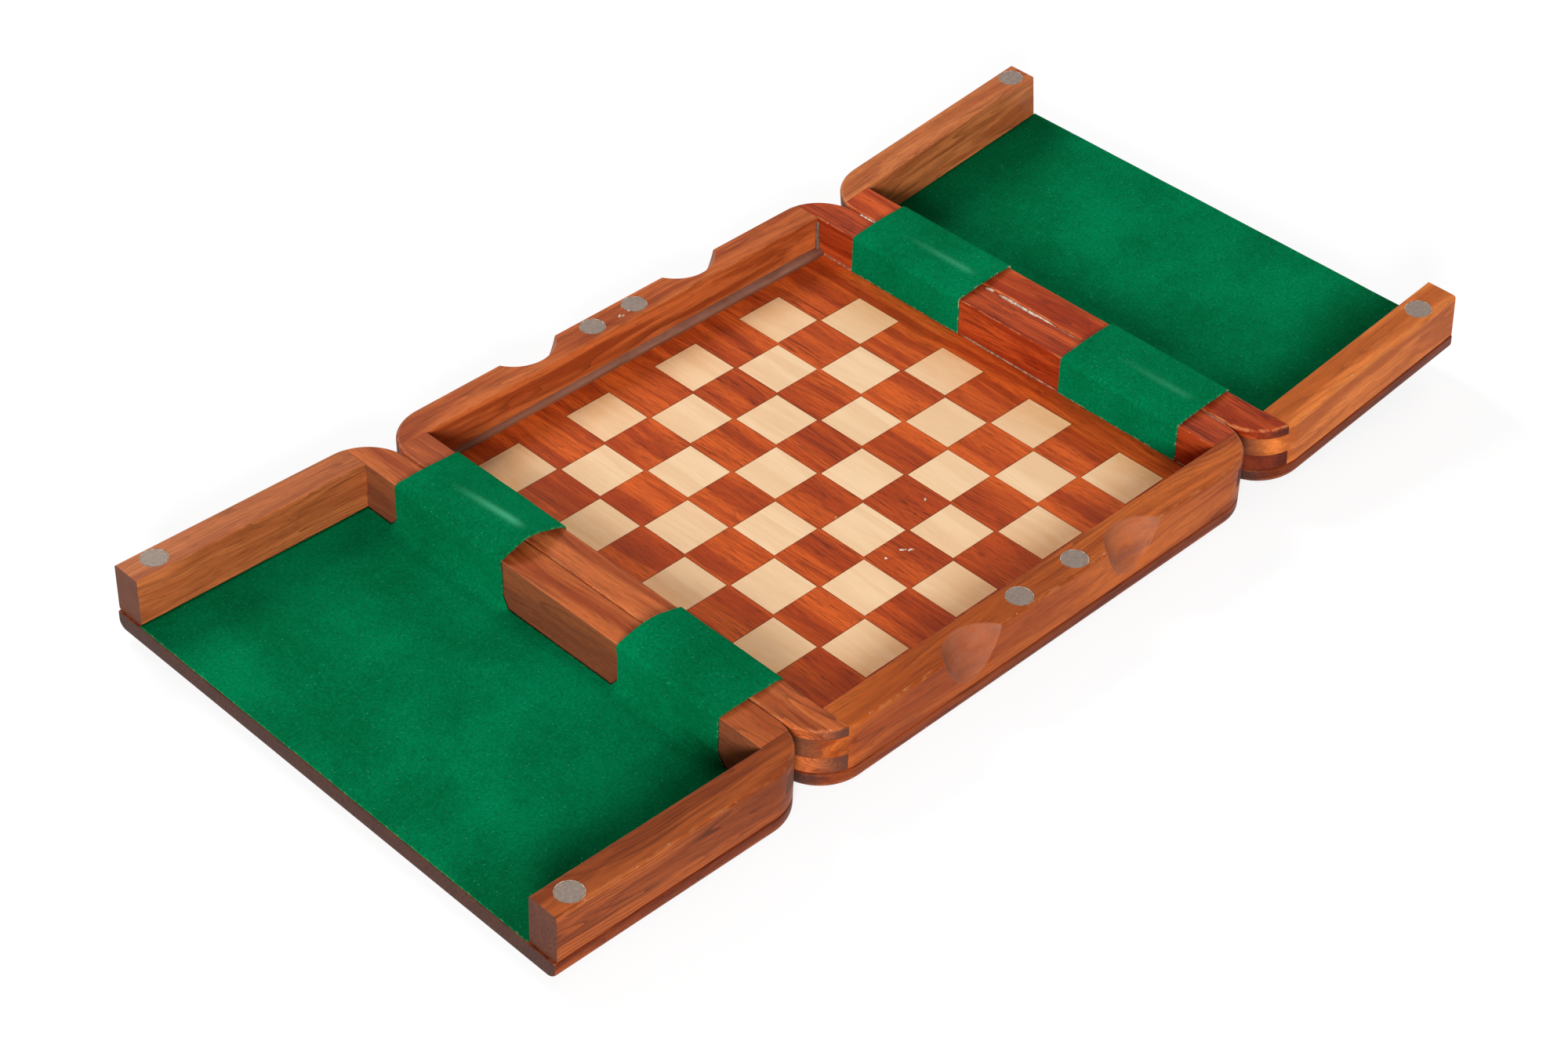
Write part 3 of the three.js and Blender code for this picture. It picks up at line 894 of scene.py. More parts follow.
@dataclass(frozen=True)
class Lumber:
    """How a piece is sawn from its plank: which way the fibres run, and from which part of it."""

    along: Vector
    seed: int
    spread: float = 400.0

    def mark(
        self,
        mesh: Mesh,
        place: Matrix,
        edge: Callable[[Vector], float] = lambda point: 0.0,
        dull: FaceRule = nowhere,
        film_and_painted_light: FaceRule = nowhere,
    ) -> None:
        """Write what the wood finishes read on a mesh, then put it in its place.

        Args:
            mesh: the mesh, in millimetres.
            place: its place in the row frame.
            edge: how worn the wood is at a point, which also sets painted highlights and bounce light there.
            dull: how dull and dark a face is drawn: the board's lines and pockets, a hinge rail's inner face,
                and painted shade on the hinge rails' lower fingers.
            film_and_painted_light: how much film lies on a face: a pale film in the scoops, and a painted
                highlight with dust on the beads.
        """
        lot = random.Random(self.seed)
        offset = Vector([lot.uniform(-self.spread, self.spread) for _ in range(3)])
        side = Vector((0, 0, 1)).cross(self.along)
        up = self.along.cross(side)
        points = [v.co.copy() for v in mesh.vertices]
        grain = [Vector((p.dot(self.along), p.dot(side), p.dot(up))) + offset for p in points]
        fibre = (place.to_3x3() @ self.along).normalized()
        stamp(mesh, "grain", "FLOAT_VECTOR", grain)
        stamp(mesh, "fibre", "FLOAT_VECTOR", [fibre] * len(points))
        stamp(mesh, "edge", "FLOAT", [edge(p) for p in points])
        for name, rule in (("dull", dull), ("film_and_painted_light", film_and_painted_light)):
            stamp(mesh, name, "FLOAT", [rule(f.center, f.normal) for f in mesh.polygons], "FACE")
        mesh.transform(place)


# ---------------- geometry nodes


class Recipe(Sketch):
    """A Geometry Nodes tree that grows a piece, with named inputs and a last one for its finish."""

    def __init__(self, name: str, inputs: Mapping[str, tuple[str, object]]) -> None:
        """Start the tree, from the type and the first value of each input."""
        super().__init__(bpy.data.node_groups.new(name, "GeometryNodeTree"))
        ends = {"Geometry": (GEOMETRY, None), **inputs, "Finish": (MATERIAL, None)}
        for key, (kind, value) in ends.items():
            self.socket(key, "INPUT", kind, value)
        self.socket("Geometry", "OUTPUT", GEOMETRY)
        self.given = self.add("NodeGroupInput").outputs

    def random(self, low: Feed, high: Feed) -> Socket:
        """A random number, or a vector between two vectors, for each element."""
        vectors = isinstance(low, tuple)
        kind, at = ("FLOAT_VECTOR", 0) if vectors else ("FLOAT", 2)
        feeds = {"Seed": self.given["Seed"], at: low, at + 1: high}
        return self.get("FunctionNodeRandomValue", feeds, 0 if vectors else 1, data_type=kind)

    def store(
        self, geometry: Feed, name: str, value: Feed, kind: str = "FLOAT_VECTOR", domain: str = "POINT"
    ) -> Socket:
        """Geometry that carries a named attribute."""
        feeds = {"Geometry": geometry, "Name": name, "Value": value}
        return self.get("GeometryNodeStoreNamedAttribute", feeds, data_type=kind, domain=domain)

    def end(self, geometry: Feed) -> "Recipe":
        """End the tree, with instances made real and the finish set, and return it."""
        solid = self.get("GeometryNodeRealizeInstances", {"Geometry": geometry})
        solid = self.get("GeometryNodeSetMaterial", {"Geometry": solid, "Material": self.given["Finish"]})
        self.add("NodeGroupOutput", {0: solid})
        return self

    def grow(self, piece: Piece, values: Mapping) -> None:
        """Turn a piece into what the tree makes of it.

        Args:
            piece: the piece.
            values: a value for each input of the tree, by name.
        """
        modifier = piece.modifiers.new("grow", "NODES")
        modifier.node_group = self.tree
        for item in self.tree.interface.items_tree:
            if item.item_type == "SOCKET" and item.in_out == "INPUT" and item.name in values:
                modifier[item.identifier] = values[item.name]
        bpy.context.view_layer.update()
        Workshop.settle(piece)


# ---------------- carcass


@dataclass(frozen=True)
class Station:
    """One upright section through the ring of rails."""

    inner: Vector
    inner_out: Vector
    outer: Vector
    outer_out: Vector
    bite: float = 0.0
    trim: float = 0.0


@dataclass(frozen=True)
class ScoopCut:
    """A finger scoop: a drum that leans into the rail's outer top edge."""

    radius: float = 13.0
    reach: float = 6.9
    drop: float = 12.7
    x: float = 32.0
    steps: int = 26

    @property
    def slope(self) -> tuple[float, float]:
        """The direction square to the scoop's floor, as parts inwards and downwards."""
        span = math.hypot(self.reach, self.drop)
        return self.drop / span, self.reach / span

    @property
    def bite(self) -> float:
        """Depth of the scoop's floor under the rail's square edge."""
        return self.reach * self.slope[0]

    def stations(self) -> list[tuple[float, float]]:
        """Distances from a scoop's middle, each with the scoop's bite there."""
        rim = math.acos(1 - self.bite / self.radius)
        angles = [rim * step / self.steps for step in range(-self.steps, self.steps + 1)]
        inside = [(self.radius * math.sin(a), self.bite - self.radius * (1 - math.cos(a))) for a in angles]
        edge = self.radius * math.sin(rim) + 0.05
        return [(-edge, 0.0), *inside, (edge, 0.0)]


@dataclass
class Carcass:
    """Half of the box: a bottom board, and rails that meet in box joints at its corners."""

    box: BoxSizes
    scoop: ScoopCut = field(default_factory=ScoopCut)
    top_round: float = 0.9
    shoulder_in: float = 8.0
    shoulder_down: float = 13.6
    ease: float = 0.4
    flat_rim: float = 0.05
    bottom_round: float = 2.4
    sawn_round: float = 0.6
    low_finger: float = 5.7
    middle_finger: float = 6.4
    arc_steps: int = 28

    def axes(self, quarter: int) -> tuple[Vector, Vector, float]:
        """The outward and the sideways direction of a side of the box, and its opening.

        Args:
            quarter: 0 right, 1 far, 2 left and 3 near.

        Returns:
            The two directions, and the distance of the side's inner face from the middle.
        """
        turn = Matrix.Rotation(quarter * math.pi / 2, 3, "Z")
        outward, along = turn @ Vector((1, 0, 0)), turn @ Vector((0, 1, 0))
        return outward, along, self.box.opening[quarter % 2]

    def shoulder(self, u: float) -> tuple[float, float]:
        """A point of the rail's outer top edge.

        Args:
            u: 0 to 1 along the top, to 2 round the edge, and to 3 down the outer face.

        Returns:
            How far the point lies inwards and downwards.
        """
        r = self.top_round
        if u <= 1:
            return self.shoulder_in + (r - self.shoulder_in) * u, 0.0
        if u <= 2:
            angle = (u - 1) * math.pi / 2
            return r * (1 - math.sin(angle)), r * (1 - math.cos(angle))
        return 0.0, r + (self.shoulder_down - r) * (u - 2)

    def crest(self, bite: float) -> list[tuple[float, float]]:
        """The outer top edge with what a scoop leaves of it.

        Args:
            bite: depth of the scoop's floor, or 0.

        Returns:
            How far each point lies inwards and downwards.
        """
        inwards, downwards = self.scoop.slope

        def left(u: float) -> float:
            inset, drop = self.shoulder(u)
            return inset * inwards + drop * downwards - bite

        start = stop = 1.5
        if bite > 0 and left(1.5) < 0:
            ends = []
            for kept, cut in ((0.0, 1.5), (3.0, 1.5)):
                for _ in range(30):
                    middle = (kept + cut) / 2
                    kept, cut = (kept, middle) if left(middle) < 0 else (middle, cut)
                ends.append(kept)
            start, stop = ends
        first, last = Vector(self.shoulder(start)), Vector(self.shoulder(stop))
        chord = last - first
        soft = min(0.25, 0.2 * chord.length) if start < 1 and stop > 2 else 0.0
        step = chord.normalized() * soft if soft else Vector((0, 0))
        first_u = 1 - SUPPORT / (self.shoulder_in - self.top_round)
        last_u = 2 + SUPPORT / (self.shoulder_down - self.top_round)
        before = [self.shoulder(min(u, start)) for u in (first_u, 1, 1.2, 1.4, 1.5)]
        after = [self.shoulder(max(u, stop)) for u in (1.5, 1.6, 1.8, 2, last_u)]
        if soft:
            before = [(max(inset, first.x + soft), drop) for inset, drop in before]
            after = [(inset, max(drop, last.y + soft)) for inset, drop in after]
        between = [first + step, first.lerp(last, 0.4), last - step]
        return before + [tuple(point) for point in between] + after

    def section(self, station: Station) -> list[Vector]:
        """The rail's section at a station, from its inner foot over the top to its outer foot."""
        foot, top = self.box.foot, self.box.height - station.trim

        def inside(inset: float, z: float) -> Vector:
            return raised(station.inner + station.inner_out * (inset + station.trim), z)

        def outside(inset: float, z: float) -> Vector:
            return raised(station.outer - station.outer_out * (inset + station.trim), z)

        points = [inside(0, foot), inside(0, top - self.ease - SUPPORT)]
        points += [inside(inset, top - drop) for drop, inset in eased(self.ease, 4)]
        points.append(inside(self.ease + SUPPORT, top))
        points += [outside(inset, top - drop) for inset, drop in self.crest(station.bite)]
        rim = foot + self.box.groove
        return points + [outside(0, rim + SUPPORT), outside(0, rim), outside(self.box.groove, foot)]

    def straight(self, quarter: int, at: float, bite: float = 0.0, trim: float = 0.0) -> Station:
        """A station on a straight side."""
        outward, along, opening = self.axes(quarter)
        inner, outer = outward * opening + along * at, outward * self.box.half + along * at
        out = outward.to_2d()
        return Station(inner.to_2d(), out, outer.to_2d(), out, bite, trim)

    def bend(self, quarter: int) -> list[Station]:
        """The stations round the corner that follows a side."""
        outward, along, opening = self.axes(quarter)
        _, _, next_opening = self.axes(quarter + 1)
        start = self.box.half - self.box.corner
        centre = (outward + along) * start
        stations = []
        for step in range(1, self.arc_steps):
            angle = (step / self.arc_steps) * math.pi / 2
            out = outward * math.cos(angle) + along * math.sin(angle)
            t = 2 * step / self.arc_steps
            if t <= 1:
                inner = outward * opening + along * (start + (next_opening - start) * t)
            else:
                inner = along * next_opening + outward * (opening + (start - opening) * (t - 1))
            inner_out = outward * (t <= 1) + along * (t >= 1)
            outer = centre + out * self.box.corner
            stations.append(Station(*(v.to_2d() for v in (inner, inner_out, outer, out))))
        return stations

    def tray_ring(self) -> Mesh:
        """The tray's four rails in one, with the scoops in its far and near sides."""
        start = self.box.half - self.box.corner
        stations = []
        for quarter in range(4):
            spots = [(-start, 0.0), (start, 0.0)]
            if quarter % 2:
                scoops = [
                    (side * self.scoop.x + at, bite)
                    for side in (-1, 1) for at, bite in self.scoop.stations()
                ]
                spots = [spots[0], *scoops, spots[1]]
            stations += [self.straight(quarter, at, bite) for at, bite in spots]
            stations += self.bend(quarter)
        return loft("ring", [self.section(s) for s in stations], closed=True)

    def door_ring(self) -> Mesh:
        """The three rails of the lid's left half in one, with the edges of both sawn ends eased."""
        start, cut, r = self.box.half - self.box.corner, self.box.saw_cut, self.sawn_round
        trims = [(cut + away, drop) for away, drop in eased(r, 4)][::-1]
        trims.append((cut + r + SUPPORT, 0.0))
        stations = [self.straight(1, at, trim=trim) for at, trim in trims]
        stations += [self.straight(1, start), *self.bend(1)]
        stations += [self.straight(2, -start), self.straight(2, start), *self.bend(2)]
        stations += [self.straight(3, -start)]
        stations += [self.straight(3, -at, trim=trim) for at, trim in reversed(trims)]
        return loft("ring", [self.section(s) for s in stations])

    def comb(self, quarter: int, start: RailEnd, stop: RailEnd) -> Mesh:
        """The space that one rail keeps of the ring.

        Args:
            quarter: the rail's side of the box.
            start: how the rail ends on its right, seen from the middle of the box.
            stop: how it ends on its left.

        Returns:
            A solid with the joint's fingers in outline.
        """
        outward, along, opening = self.axes(quarter)
        _, _, end = self.axes(quarter + 1)
        end, beyond, top = end - self.box.seam, self.box.half + 1, self.box.height + 1
        gap = self.box.seam / 2
        first = self.box.foot + self.low_finger
        second = first + self.middle_finger
        outlines = {
            RailEnd.SAWN: [(-1.0, 0.0), (-1.0, top)],
            RailEnd.GUEST: [
                (end, 0.0), (end, first + gap), (beyond, first + gap),
                (beyond, second - gap), (end, second - gap), (end, top),
            ],
            RailEnd.OWNER: [
                (beyond, 0.0), (beyond, first - gap), (end, first - gap),
                (end, second + gap), (beyond, second + gap), (beyond, top),
            ],
        }
        outline = [(-s, z) for s, z in outlines[start]] + outlines[stop][::-1]
        walls = outward * (opening - 0.02), outward * beyond
        return loft("comb", [[raised(wall + along * s, z) for s, z in outline] for wall in walls])

    def plate(self, door: bool) -> Mesh:
        """The bottom board of the tray, or the panel of a door.

        Args:
            door: whether it is a door's, which ends at the saw cut.

        Returns:
            The mesh.
        """
        r, groove, top = self.bottom_round, self.box.groove, self.box.foot - self.box.seam
        levels = [(r + SUPPORT, 0.0), *eased(r, 8)]
        levels += [(0.0, r + SUPPORT), (0.0, top - groove - SUPPORT), (0.0, top - groove)]
        levels += [(groove * 0.3, top - groove * 0.45), (groove, top), (groove + SUPPORT, top)]
        return loft("plate", [self.outline(inset, z, door) for inset, z in levels])

    def outline(self, inset: float, z: float, door: bool) -> list[Vector]:
        """The box's footprint at a height, or its left half up to the saw cut."""
        centre, radius = self.box.half - self.box.corner, self.box.corner - inset
        points = []
        for corner in (1, 2) if door else range(4):
            start = corner * math.pi / 2
            middle = Vector((math.cos(start + math.pi / 4), math.sin(start + math.pi / 4))) * centre
            middle *= math.sqrt(2)
            for step in range(self.arc_steps + 1):
                angle = start + step / self.arc_steps * math.pi / 2
                spoke = Vector((math.cos(angle), math.sin(angle))) * radius
                points.append(raised(middle + spoke, z))
        if door:
            cut, edge = -self.box.saw_cut, self.box.half - inset
            sawn = [(cut - away, edge - drop) for drop, away in eased(self.sawn_round, 4)]
            points = [Vector((x, y, z)) for x, y in sawn] + points
            points += [Vector((x, -y, z)) for x, y in reversed(sawn)]
        return points

    def wear_and_highlight_at(self, point: Vector) -> float:
        """How worn a rail's edges are at a point, which also sets the painted highlight along its arrises."""
        inset, drop = self.box.inset_of(point.x, point.y), self.box.height - point.z
        outer, inner = self.top_round - self.flat_rim, self.ease - self.flat_rim
        if inset < outer and drop < outer:
            return 1.0
        past = max(abs(point.x) - self.box.opening[0], abs(point.y) - self.box.opening[1])
        return 0.8 if past < inner and drop < inner else 0.0

    def film_on(self, middle: Vector, normal: Vector) -> float:
        """Whether a face is a scoop's floor, where the varnish is thin and pale."""
        if abs(middle.y) < self.box.half - 8:
            return 0.0
        inwards, downwards = self.scoop.slope
        inset, drop = self.box.half - abs(middle.y), self.box.height - middle.z
        dx = abs(middle.x) - self.scoop.x
        floor = self.scoop.bite - self.scoop.radius + math.sqrt(max(self.scoop.radius**2 - dx**2, 0))
        leans = abs(normal.y) * inwards + normal.z * downwards > 0.5
        on_floor = abs(inset * inwards + drop * downwards - floor) < 0.15
        return 1.0 if floor > 0 and leans and on_floor else 0.0

    def plate_bounce_light_at(self, point: Vector) -> float:
        """How much a board's lower rounded edge is lightened at a point, as painted bounce light from the
        floor.
        """
        r = self.bottom_round
        low = 0.3 < point.z < r and abs(point.x) > 2 * r
        return 0.7 if low and self.box.inset_of(point.x, point.y) < r else 0.0


# ---------------- board


class Spot(Enum):
    """What a spot of the board is, with how dull its varnish is."""

    DARK = 0.0
    LINE = 0.3
    POCKET = 1.0


@dataclass
class Chessboard:
    """The dark board with a pocket for each light square, and the light squares in them."""

    box: BoxSizes
    squares: int = 8
    pitch: float = 17.4
    margin: float = 0.35
    pocket: float = 1.2
    play: float = 0.06
    seed: int = 5

    def cuts(self, half: float) -> list[float]:
        """Where the board's faces are split along one side, from edge to edge."""
        first = -self.squares * self.pitch / 2
        lines = [first + k * self.pitch for k in range(self.squares + 1)]
        inner = [line + step * self.margin for line in lines for step in (-1, 0, 1)]
        return [-half, *inner, half]

    def spot_at(self, x: float, y: float) -> Spot:
        """What the board is at a place, from how far across and along it that is."""
        spans = [v + self.squares * self.pitch / 2 for v in (x, y)]
        cell = [math.floor(v / self.pitch) for v in spans]
        if not all(0 <= c < self.squares for c in cell) or sum(cell) % 2 == 0:
            return Spot.DARK
        near_edge = min(min(v % self.pitch, self.pitch - v % self.pitch) for v in spans)
        return Spot.LINE if near_edge < self.margin else Spot.POCKET

    def slab(self) -> Mesh:
        """The dark board, with a pocket sunk for each light square."""
        top, bottom = self.box.playing_height, self.box.foot
        xs = self.cuts(self.box.opening[0] - self.box.seam)
        ys = self.cuts(self.box.opening[1] - self.box.seam)
        work = bmesh.new()
        grid = [[work.verts.new((x, y, top)) for y in ys] for x in xs]
        sunk = []
        for i in range(len(xs) - 1):
            for j in range(len(ys) - 1):
                face = work.faces.new((grid[i][j], grid[i + 1][j], grid[i + 1][j + 1], grid[i][j + 1]))
                if self.spot_at((xs[i] + xs[i + 1]) / 2, (ys[j] + ys[j + 1]) / 2) is Spot.POCKET:
                    sunk.append(face)
        rim = [e for e in work.edges if e.is_boundary]
        wall = bmesh.ops.extrude_edge_only(work, edges=rim)["geom"]
        low = [v for v in wall if isinstance(v, bmesh.types.BMVert)]
        for vert in low:
            vert.co.z = bottom
        loop = [e for e in wall if isinstance(e, bmesh.types.BMEdge) and e.is_boundary]
        bmesh.ops.contextual_create(work, geom=loop)
        for face in sunk:
            walls = bmesh.ops.extrude_discrete_faces(work, faces=[face])
            for vert in walls["faces"][0].verts:
                vert.co.z = top - self.pocket
        bmesh.ops.remove_doubles(work, verts=work.verts, dist=1e-5)
        bmesh.ops.recalc_face_normals(work, faces=work.faces)
        mesh = bpy.data.meshes.new("board_slab")
        work.to_mesh(mesh)
        work.free()
        return mesh

    def dullness(self, middle: Vector, normal: Vector) -> float:
        """How dull the veneer is: on the lines round the light squares, and in their pockets."""
        return self.spot_at(middle.x, middle.y).value

    @staticmethod
    def tile(sketch: Recipe) -> Socket:
        """One light square with an eased top, at the height of the board."""
        given = sketch.given
        body = sketch.less(given["Thickness"], given["Ease"])
        size = sketch.get("ShaderNodeCombineXYZ", {0: given["Side"], 1: given["Side"], 2: body})
        block = sketch.get("GeometryNodeMeshCube", {"Size": size})
        upright = sketch.vector("DOT_PRODUCT", sketch.get("GeometryNodeInputNormal"), (0.0, 0.0, 1.0))
        grown = sketch.add("GeometryNodeExtrudeMesh", {
            "Mesh": block, "Selection": sketch.maths("GREATER_THAN", upright, 0.5),
            "Offset Scale": given["Ease"],
        }).outputs
        shrink = sketch.times(sketch.maths("DIVIDE", given["Ease"], given["Side"]), 2.0)
        eased_block = sketch.get("GeometryNodeScaleElements", {
            "Geometry": grown["Mesh"], "Selection": grown["Top"], "Scale": sketch.less(1.0, shrink),
        })
        drop = sketch.less(given["Top"], sketch.plus(sketch.times(body, 0.5), given["Ease"]))
        lift = sketch.get("ShaderNodeCombineXYZ", {2: drop})
        return sketch.get("GeometryNodeTransform", {"Geometry": eased_block, "Translation": lift})

    @staticmethod
    def laid_out(sketch: Recipe, tile: Socket) -> Socket:
        """A tile on every second point of a grid, each with its own part of the plank."""
        given = sketch.given
        span = sketch.times(given["Pitch"], sketch.less(given["Count"], 1.0))
        grid = sketch.get("GeometryNodeMeshGrid", {
            "Size X": span, "Size Y": span,
            "Vertices X": given["Count"], "Vertices Y": given["Count"],
        })
        index = sketch.get("GeometryNodeInputIndex")
        rank = sketch.maths("FLOOR", sketch.maths("DIVIDE", index, given["Count"]))
        copies = sketch.get("GeometryNodeInstanceOnPoints", {
            "Points": grid, "Selection": sketch.maths("MODULO", sketch.plus(index, rank), 2.0),
            "Instance": tile,
        })
        lot = sketch.random((-300.0,) * 3, (300.0,) * 3)
        copies = sketch.store(copies, "lot", lot, domain="INSTANCE")
        return sketch.get("GeometryNodeRealizeInstances", {"Geometry": copies})

    @staticmethod
    def marked(sketch: Recipe, tiles: Socket) -> Socket:
        """The tiles with what their finish reads: grain, fibres, and painted shade and orange bounce light
        that grow towards the rails.
        """
        pitch = sketch.given["Pitch"]
        lot = sketch.get(
            "GeometryNodeInputNamedAttribute", {"Name": "lot"}, "Attribute", data_type="FLOAT_VECTOR"
        )
        spot = sketch.add("ShaderNodeSeparateXYZ", {0: sketch.get("GeometryNodeInputPosition")}).outputs
        turned = sketch.get("ShaderNodeCombineXYZ", {0: spot["Y"], 1: spot["X"], 2: spot["Z"]})
        tiles = sketch.store(tiles, "grain", sketch.vector("ADD", turned, lot))
        tiles = sketch.store(tiles, "fibre", (0.0, 1.0, 0.0))
        reach = sketch.maths("MAXIMUM", *(sketch.maths("ABSOLUTE", spot[axis]) for axis in "XY"))
        # Painted shade and bounce light: nothing on the middle squares, more the closer a square lies to the
        # rails.
        past = sketch.less(reach, sketch.times(pitch, 2.9))
        film_and_painted_light = sketch.maths("DIVIDE", past, sketch.times(pitch, 1.6))
        film_and_painted_light = sketch.maths("MAXIMUM", sketch.times(film_and_painted_light, sketch.given["Rail_Shade_And_Bounce"]), 0.0)
        return sketch.store(tiles, "film_and_painted_light", film_and_painted_light, "FLOAT")

    def tiles(self, workshop: Workshop) -> Piece:
        """The light squares, in one piece."""
        recipe = Recipe("light_squares", {
            "Pitch": (NUMBER, 17.4), "Count": (WHOLE, 8), "Side": (NUMBER, 16.6),
            "Thickness": (NUMBER, 1.1), "Ease": (NUMBER, 0.06), "Top": (NUMBER, 8.3),
            "Rail_Shade_And_Bounce": (NUMBER, 1.0), "Seed": (WHOLE, 3),
        })
        recipe.end(self.marked(recipe, self.laid_out(recipe, self.tile(recipe))))
        piece = workshop.put("maple_squares", bpy.data.meshes.new("maple_squares"))
        recipe.grow(piece, {
            "Pitch": self.pitch, "Count": self.squares,
            "Side": self.pitch - 2 * (self.margin + self.play), "Thickness": self.pocket - 0.1,
            # How strong the painted shade and bounce light towards the rails are.
            "Top": self.box.playing_height, "Rail_Shade_And_Bounce": 1.1, "Seed": self.seed,
            "Finish": workshop.finish_of(MAPLE),
        })
        piece.data.transform(self.box.tray_place())
        return piece

    def make(self, workshop: Workshop) -> None:
        """Make the board and hand it to the frame."""
        mesh = self.slab()
        Lumber(Vector((0, 1, 0)), self.seed).mark(mesh, self.box.tray_place(), dull=self.dullness)
        workshop.hand_over(workshop.put("board_slab", mesh), BOARD, "tray", ["chessboard"])
        files, ranks = "abcdefgh", range(self.squares)
        names = [f"{files[f]}{r + 1}" for r in ranks for f in ranks if (f + r) % 2]
        tiles = self.tiles(workshop)
        workshop.hand_over(tiles, MAPLE, "tray", [f"maple_square_{name}" for name in names])


# ---------------- glue, threads and chips


def glue_bead() -> Recipe:
    """A lumpy bead of glue along each line of the mesh that it is given."""
    sketch = Recipe("glue_bead", {
        "Radius": (NUMBER, 0.0003), "Lumps": (NUMBER, 0.6), "Step": (NUMBER, 0.0005),
        "Seed": (NUMBER, 1.0),
    })
    given = sketch.given
    curve = sketch.get("GeometryNodeMeshToCurve", {"Mesh": given["Geometry"]})
    feeds = {"Curve": curve, "Length": given["Step"]}
    curve = sketch.get("GeometryNodeResampleCurve", feeds, mode="LENGTH")
    spot = sketch.in_millimetres(sketch.get("GeometryNodeInputPosition"))
    spot = sketch.vector("ADD", spot, sketch.get("ShaderNodeCombineXYZ", {0: given["Seed"]}))
    lump = sketch.less(sketch.noise(spot, (0.5, 0.5, 0.5), 3.0, 0.7), 0.5)
    swell = sketch.plus(1.0, sketch.times(sketch.times(lump, 4.0), given["Lumps"]))
    along = sketch.get("GeometryNodeSplineParameter", output="Factor")
    ends = sketch.times(10.0, sketch.times(along, sketch.less(1.0, along)))
    taper = sketch.plus(sketch.maths("MINIMUM", 1.0, ends), 0.1)
    swell = sketch.times(sketch.maths("MAXIMUM", swell, 0.12), taper)
    mesh = sketch.get("GeometryNodeCurveToMesh", {
        "Curve": curve, "Fill Caps": True, "Scale": sketch.times(given["Radius"], swell),
        "Profile Curve": sketch.get("GeometryNodeCurvePrimitiveCircle", {"Resolution": 8, "Radius": 1.0}),
    })
    return sketch.end(sketch.get("GeometryNodeSetShadeSmooth", {"Geometry": mesh}))


def loose_threads() -> Recipe:
    """Short loose threads that stand off each line of the mesh that it is given."""
    sketch = Recipe("loose_threads", {
        "Step": (NUMBER, 0.0006), "Length": (NUMBER, 0.0009), "Thickness": (NUMBER, 0.00005),
        "Seed": (WHOLE, 1),
    })
    given = sketch.given
    curve = sketch.get("GeometryNodeMeshToCurve", {"Mesh": given["Geometry"]})
    feeds = {"Curve": curve, "Length": given["Step"]}
    points = sketch.get("GeometryNodeCurveToPoints", feeds, mode="LENGTH")
    thread = sketch.get("GeometryNodeMeshCylinder", {
        "Vertices": 3, "Radius": given["Thickness"], "Depth": given["Length"],
    })
    return sketch.end(sketch.get("GeometryNodeInstanceOnPoints", {
        "Points": points, "Instance": thread, "Scale": sketch.random(0.3, 1.1),
        "Rotation": sketch.random((0.5, -0.9, 0.0), (1.8, 0.9, 6.28)),
    }))


def varnish_chips() -> Recipe:
    """A small flat flake at each point of the mesh that it is given."""
    sketch = Recipe("varnish_chips", {"Size": (NUMBER, 0.0003), "Seed": (WHOLE, 1)})
    given = sketch.given
    flake = sketch.get("GeometryNodeMeshIcoSphere", {"Radius": given["Size"], "Subdivisions": 2})
    return sketch.end(sketch.get("GeometryNodeInstanceOnPoints", {
        "Points": given["Geometry"], "Instance": flake,
        "Rotation": sketch.random((0.0, 0.0, -0.9), (0.0, 0.0, 0.9)),
        "Scale": sketch.random((0.5, 0.25, 0.12), (1.2, 0.6, 0.2)),
    }))


@dataclass(frozen=True)
class GlueRun:
    """A run of glue: its lines, its radius and its step in millimetres, and how lumpy it is."""

    name: str
    lines: Sequence[Sequence[Vector]]
    radius: float
    finish: Finish
    lumps: float = 0.12
    step: float = 0.7
    seed: float = 5.0


